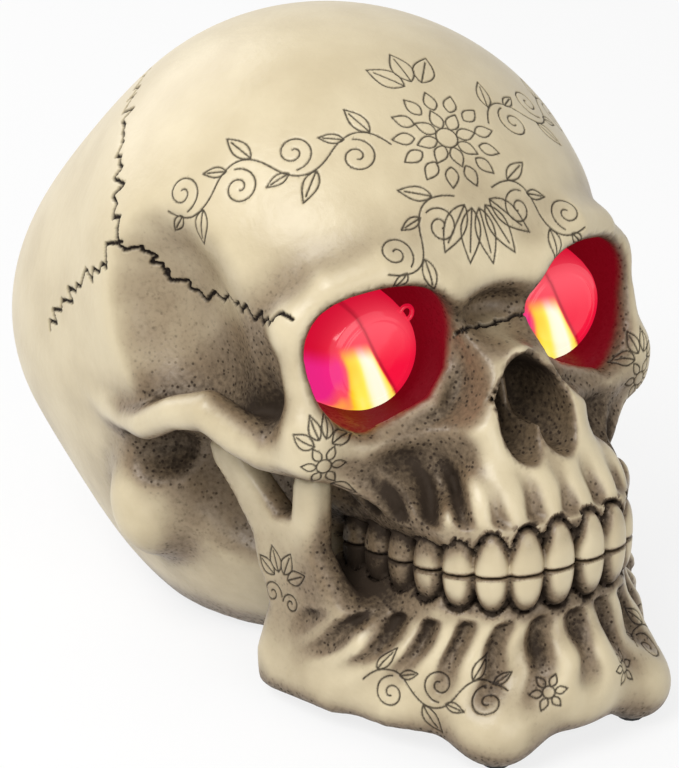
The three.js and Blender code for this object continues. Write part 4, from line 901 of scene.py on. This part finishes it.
def mix_colour(nodes, links, factor, a, b):
    node = add(nodes, "ShaderNodeMix", data_type="RGBA")
    links.new(factor, node.inputs["Factor"])
    colour_sockets = [s for s in node.inputs if s.type == "RGBA"]
    for socket, value in zip(colour_sockets, (a, b)):
        if isinstance(value, tuple):
            socket.default_value = (*value, 1)
        else:
            links.new(value, socket)
    return [s for s in node.outputs if s.type == "RGBA"][0]


def noise(nodes, links, coordinate, scale, detail=3):
    node = add(nodes, "ShaderNodeTexNoise", Scale=scale, Detail=detail)
    links.new(coordinate, node.inputs["Vector"])
    return node.outputs["Fac"]


IVORY, IVORY_WARM, TAN = (0.61, 0.52, 0.345), (0.55, 0.46, 0.295), (0.2, 0.14, 0.08)
# The dark brown is antique finish and painted shade; the dark red is painted lamplight on the orbit walls
WASH_AND_SHADE_BROWN, INK, SOCKET_LAMPLIGHT_RED = (0.036, 0.025, 0.017), (0.012, 0.008, 0.006), (0.05, 0.002, 0.005)


def bone_material():
    """Ivory resin, darkened in its recesses by a dark brown antique finish and painted shade, with stippled
    pits and inked lines; the orbit walls carry painted red lamplight.
    """
    material, nodes, links, shader = new_material("bone")
    place = add(nodes, "ShaderNodeTexCoord").outputs["Object"]
    wash_and_shade, ink, socket = (
        add(nodes, "ShaderNodeAttribute", attribute_name=key).outputs["Fac"]
        for key in ("wash_and_shade", "ink", "socket")
    )
    cloud, grain = noise(nodes, links, place, 60, 4), noise(nodes, links, place, 800, 2)
    pits = add(nodes, "ShaderNodeTexVoronoi", Scale=620.0)
    links.new(place, pits.inputs["Vector"])
    pit = range_node(nodes, links, pits.outputs["Distance"], 0.34, 0.12)
    # Pits show where the antique finish and painted shade are middling
    pitted_share = range_node(nodes, links, wash_and_shade, 0.1, 0.45)
    stained_and_shaded = math_node(nodes, links, "ADD", wash_and_shade, math_node(nodes, links, "MULTIPLY_ADD", cloud, 0.2, -0.1))
    speck = math_node(nodes, links, "MULTIPLY_ADD", grain, 0.55, -0.27)
    dots = math_node(nodes, links, "MULTIPLY", math_node(nodes, links, "MULTIPLY", pit, pitted_share), 0.3)
    rough_stain_and_shade = math_node(nodes, links, "ADD", math_node(nodes, links, "ADD", stained_and_shaded, speck), dots)
    tint = range_node(nodes, links, cloud, 0.3, 0.7)
    ivory = mix_colour(nodes, links, tint, IVORY, IVORY_WARM)
    tan = mix_colour(nodes, links, range_node(nodes, links, stained_and_shaded, 0.02, 0.36), ivory, TAN)
    # Share of the darkest brown, from antique finish and painted shade together
    darkness = range_node(nodes, links, rough_stain_and_shade, 0.18, 0.82)
    dark = mix_colour(nodes, links, darkness, tan, WASH_AND_SHADE_BROWN)
    inked = mix_colour(nodes, links, ink, dark, INK)
    # Painted red lamplight from the lens on the orbit walls
    colour = mix_colour(nodes, links, socket, inked, SOCKET_LAMPLIGHT_RED)
    links.new(colour, shader.inputs["Base Color"])
    dull = math_node(nodes, links, "MAXIMUM", darkness, ink)
    links.new(math_node(nodes, links, "MULTIPLY_ADD", dull, 0.3, 0.36), shader.inputs["Roughness"])
    links.new(math_node(nodes, links, "MULTIPLY_ADD", dull, -0.42, 0.5), shader.inputs["Specular IOR Level"])
    # The painted lamplight on the orbit walls also glows a little
    shader.inputs["Emission Color"].default_value = (0.6, 0.004, 0.02, 1)
    links.new(math_node(nodes, links, "MULTIPLY", socket, 0.2), shader.inputs["Emission Strength"])
    bump = add(nodes, "ShaderNodeBump", Strength=0.3, Distance=0.0005)
    height = math_node(nodes, links, "SUBTRACT", noise(nodes, links, place, 420, 4), dots)
    links.new(height, bump.inputs["Height"])
    links.new(bump.outputs["Normal"], shader.inputs["Normal"])
    return material


def plain_material(name, colour, roughness, metallic=0.0, grain=600, depth=0.0001):
    """Moulded or plated surface with slight mottling and a fine grain."""
    material, nodes, links, shader = new_material(name)
    place = add(nodes, "ShaderNodeTexCoord").outputs["Object"]
    mottle = noise(nodes, links, place, 120)
    darker = tuple(0.8 * c for c in colour)
    links.new(mix_colour(nodes, links, mottle, darker, colour), shader.inputs["Base Color"])
    shader.inputs["Roughness"].default_value = roughness
    shader.inputs["Metallic"].default_value = metallic
    bump = add(nodes, "ShaderNodeBump", Strength=0.3, Distance=depth)
    links.new(noise(nodes, links, place, grain), bump.inputs["Height"])
    links.new(bump.outputs["Normal"], shader.inputs["Normal"])
    return material


def lens_material():
    """Clear red plastic; the lamp's light through it is painted as an emitted glow."""
    material, nodes, links, shader = new_material("lit_lens")
    glow = add(nodes, "ShaderNodeAttribute", attribute_name="glow").outputs["Color"]
    shader.inputs["Base Color"].default_value = (0.12, 0.001, 0.004, 1)
    links.new(glow, shader.inputs["Emission Color"])
    shader.inputs["Emission Strength"].default_value = 1.0
    shader.inputs["Roughness"].default_value = 0.12
    shader.inputs["Specular IOR Level"].default_value = 0.35
    return material


SLOT_LOOKS = {
    "lamp": ((0.85, 0.1, 0.08), 0.15, 0.0),
    "black_plastic": ((0.03, 0.03, 0.03), 0.5, 0.0),
    "grey_plastic": ((0.07, 0.07, 0.066), 0.5, 0.0),
    "steel": ((0.6, 0.6, 0.6), 0.35, 1.0),
    "nickel": ((0.66, 0.64, 0.6), 0.3, 1.0),
    "cell_wrap": ((0.05, 0.16, 0.1), 0.35, 0.0),
    "board": ((0.03, 0.14, 0.06), 0.45, 0.0),
    "resistor": ((0.6, 0.45, 0.28), 0.5, 0.0),
    "plug": ((0.78, 0.75, 0.66), 0.5, 0.0),
    "cable_red": ((0.35, 0.02, 0.02), 0.5, 0.0),
    "cable_black": ((0.02, 0.02, 0.02), 0.5, 0.0),
    "pad_rubber": ((0.04, 0.04, 0.04), 0.85, 0.0),
}


def dress_cad_nodes():
    looks = {slot: plain_material(slot, *values) for slot, values in SLOT_LOOKS.items()}
    for row in frame["record"]["subparts"]:
        material = looks.get(row["material_slot"])
        if material:
            mesh = frame["nodes"][row["node"]].data
            mesh.materials.clear()
            mesh.materials.append(material)


# Eye lenses, turned about an axis that runs to the back, with an ear loop on the front edge
LENS_PROFILE = [
    (0, 0), (5, 0.15), (9, 0.6), (10.4, 1), (10.8, 1.5), (11.3, 1.4), (13.2, 2.3), (14.2, 4), (15.2, 7),
    (16, 11), (16.5, 15), (16.5, 20),
]
LENS_RADIUS, LENS_SIDES = 16.5, 144
LOOP_SIDES, TUBE_SIDES = 24, 10
EAR_LOOP = {"out": 14.6, "back": 3.6, "turn": math.radians(42), "ring": 1.9, "tube": 0.6}
# Painted glow of the lens: its red, a deeper red at the edge, and a pink painted highlight near the top
LENS_RED, LENS_DEEP, LENS_PINK = (0.85, 0.007, 0.045), (0.45, 0.001, 0.02), (0.95, 0.16, 0.2)
# Colours of the lamp's spill, painted as the lens's glow, from the seam outwards
SPILL = [
    (0.0, (1, 0.8, 0.1)), (0.1, (1, 0.9, 0.3)), (0.2, (1, 0.98, 0.8)), (0.36, (1, 0.96, 0.6)),
    (0.5, (1, 0.85, 0.1)), (0.66, (1, 0.6, 0.02)), (0.78, (0.9, 0.08, 0.12)), (0.95, (0.8, 0.02, 0.22)),
]


def lens_glow(points):
    """Painted light of the lens: red, with the lamp's spill low on its -x side, up to a seam."""
    x, _, z = (points / LENS_RADIUS).T
    towards = -0.88 * x - 0.47 * z + 0.12 * z**2
    spilt = smooth_step(towards, 0, 0.04) * (1 - smooth_step(z + 0.3 * x + 0.4 * x**2, 0.02, 0.34))
    along = towards / (0.62 + 0.5 * smooth_step(-z, -0.1, 0.8)) + 0.05 * np.sin(24 * towards + 5 * z)
    places, colours = zip(*SPILL)
    spill = np.stack([np.interp(along, places, channel) for channel in zip(*colours)], 1)
    edge = smooth_step(np.hypot(x, z), 0.55, 1)[:, None]
    # Painted highlight: pinker towards the top, away from the edge
    shine = (smooth_step(z, -0.2, 0.7) * (1 - edge[:, 0]))[:, None]
    red = mix(mix(np.array(LENS_RED), np.array(LENS_DEEP), 0.6 * edge), np.array(LENS_PINK), 0.5 * shine)
    seam = np.exp(-((towards + 0.02) / 0.025) ** 2)[:, None]
    colour = mix(red, spill, spilt[:, None]) * (1 - 0.5 * seam)
    return np.column_stack([colour, np.ones(len(x))])


def ring_faces(rows, columns, closed):
    """Quads, as triangles, between rows of points that close on themselves."""
    k, faces = np.arange(columns), []
    for r in range(rows if closed else rows - 1):
        a, b = r * columns, (r + 1) % rows * columns
        c, d = a + (k + 1) % columns, b + (k + 1) % columns
        faces += [np.stack([a + k, b + k, d], 1), np.stack([a + k, d, c], 1)]
    return np.concatenate(faces)


def full_turn(sides):
    return np.linspace(0, 2 * math.pi, sides, endpoint=False)


def lens(name, node, side):
    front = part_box(node)[0].y / MM - shift_y
    profile = densify(LENS_PROFILE, 0.35)
    angles = full_turn(LENS_SIDES)
    radius, depth = profile[:, :1], profile[:, 1:]
    body = np.stack([radius * np.cos(angles), depth + 0 * angles, radius * np.sin(angles)], -1).reshape(-1, 3)
    loop, tube = np.meshgrid(full_turn(LOOP_SIDES), full_turn(TUBE_SIDES))
    ring = EAR_LOOP["ring"] + EAR_LOOP["tube"] * np.cos(tube)
    ear = np.stack([
        ring * np.cos(loop) - side * EAR_LOOP["out"] * math.cos(EAR_LOOP["turn"]),
        EAR_LOOP["back"] + EAR_LOOP["tube"] * np.sin(tube),
        ring * np.sin(loop) + EAR_LOOP["out"] * math.sin(EAR_LOOP["turn"]),
    ], -1).reshape(-1, 3)
    points = np.vstack([body, ear])
    ear_faces = ring_faces(TUBE_SIDES, LOOP_SIDES, True) + len(body)
    faces = np.vstack([ring_faces(len(profile), LENS_SIDES, False), ear_faces])
    attributes = {"glow": lens_glow(points)}
    piece = mesh_object(name, points + (LENS_X * side, front, LENS_Z), faces, attributes, lens_look)
    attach(piece, BODY)
    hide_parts(node)


# Pieces
bone_look, lens_look = bone_material(), lens_material()
dress_cad_nodes()
cranium_lines = (
    grid_lines([(0, 1.3), (36, 2)], 79),
    grid_lines([(-119, 1.4), (-42, 2), (0, 3.2)], 121),
    grid_lines([(-2, 2.6), (40, 1.3), (76, 1.7), (126, 3)], 173),
)
jaw_lines = (
    grid_lines([(0, 1.3), (36, 1.7)], 62),
    grid_lines([(-119, 1.4)], -4),
    grid_lines([(-2, 1.7), (30, 1.3), (56, 1.7)], 79),
)
casting(
    "cranium_bone", "cranium_casting", cranium, bone, upper_flutes, cranium_strokes(bone), cranium_lines,
    bone_look,
)
casting("jaw_bone", "mandible_casting", jaw, jaw, lower_flutes, jaw_strokes(jaw_bone), jaw_lines, bone_look)
for side_name, sign in (("left", 1), ("right", -1)):
    lens(f"lens_{side_name}", f"eye_lens_{side_name}", sign)


# Floor, light and camera
FLOOR_COLOUR, FLOOR_GLOW = (0.86, 0.86, 0.86, 1), 0.8
WORLD_LIGHT = 0.42
# Lamps: name, place, aim, size and watts
LAMPS = [
    ("key", (-0.75, -0.3, 0.95), (0, 0, 0.08), 0.7, 9.5),
    ("front", (-0.2, -1.2, 0.5), (0, -0.05, 0.07), 0.8, 4),
    ("back", (-0.25, 1.0, 0.75), (0, 0, 0.12), 1.1, 6),
]
AZIMUTH, ELEVATION = math.radians(-34), math.radians(23)
CAMERA_DISTANCE, PIXELS_PER_MM, IMAGE_HEIGHT = 800, 3.6, 768
AIM = (0, 0, 63)


def background_seen(nodes, links):
    """1 for the rays that show the background: from the camera, and by gloss or through glass."""
    path = add(nodes, "ShaderNodeLightPath")
    shown = math_node(nodes, links, "MAXIMUM", path.outputs["Is Camera Ray"], path.outputs["Is Glossy Ray"])
    return math_node(nodes, links, "MAXIMUM", shown, path.outputs["Is Transmission Ray"])


def floor():
    material, nodes, links, shader = new_material("pale_floor")
    shader.inputs["Base Color"].default_value = FLOOR_COLOUR
    shader.inputs["Roughness"].default_value = 0.9
    glow = add(nodes, "ShaderNodeEmission", Strength=1.0)
    blend_node = add(nodes, "ShaderNodeMixShader")
    seen = math_node(nodes, links, "MULTIPLY", background_seen(nodes, links), FLOOR_GLOW)
    links.new(seen, blend_node.inputs[0])
    links.new(shader.outputs[0], blend_node.inputs[1])
    links.new(glow.outputs[0], blend_node.inputs[2])
    links.new(blend_node.outputs[0], nodes["Material Output"].inputs["Surface"])
    bpy.ops.mesh.primitive_plane_add(size=8)
    plane = bpy.context.object
    plane.name = "floor"
    plane.data.materials.append(material)


def soft_light(name, place, aim, size, watts):
    data = bpy.data.lights.new(name, "AREA")
    data.shape, data.size, data.energy = "DISK", size, watts
    lamp = bpy.data.objects.new(name, data)
    lamp.location = place
    lamp.rotation_euler = (Vector(aim) - Vector(place)).to_track_quat("-Z", "Y").to_euler()
    bpy.context.scene.collection.objects.link(lamp)


def world():
    backdrop = bpy.data.worlds.new("studio")
    backdrop.use_nodes = True
    nodes, links = backdrop.node_tree.nodes, backdrop.node_tree.links
    strength = add(nodes, "ShaderNodeMapRange")
    links.new(background_seen(nodes, links), strength.inputs["Value"])
    strength.inputs["To Min"].default_value = WORLD_LIGHT
    strength.inputs["To Max"].default_value = 1.0
    links.new(strength.outputs["Result"], nodes["Background"].inputs["Strength"])
    nodes["Background"].inputs["Color"].default_value = (1, 1, 1, 1)
    bpy.context.scene.world = backdrop


def camera():
    data = bpy.data.cameras.new("camera")
    data.sensor_fit, data.sensor_height = "VERTICAL", 36
    data.lens = PIXELS_PER_MM * CAMERA_DISTANCE * data.sensor_height / IMAGE_HEIGHT
    eye = bpy.data.objects.new("camera", data)
    bpy.context.scene.collection.objects.link(eye)
    flat = math.cos(ELEVATION)
    back = Vector((math.sin(AZIMUTH) * flat, -math.cos(AZIMUTH) * flat, math.sin(ELEVATION)))
    eye.location = Vector(to_frame(np.array(AIM, float))) + back * CAMERA_DISTANCE * MM
    eye.rotation_euler = back.to_track_quat("Z", "Y").to_euler()
    bpy.context.scene.camera = eye


floor()
world()
for lamp in LAMPS:
    soft_light(*lamp)
camera()
bpy.context.scene.view_settings.view_transform = "Standard"
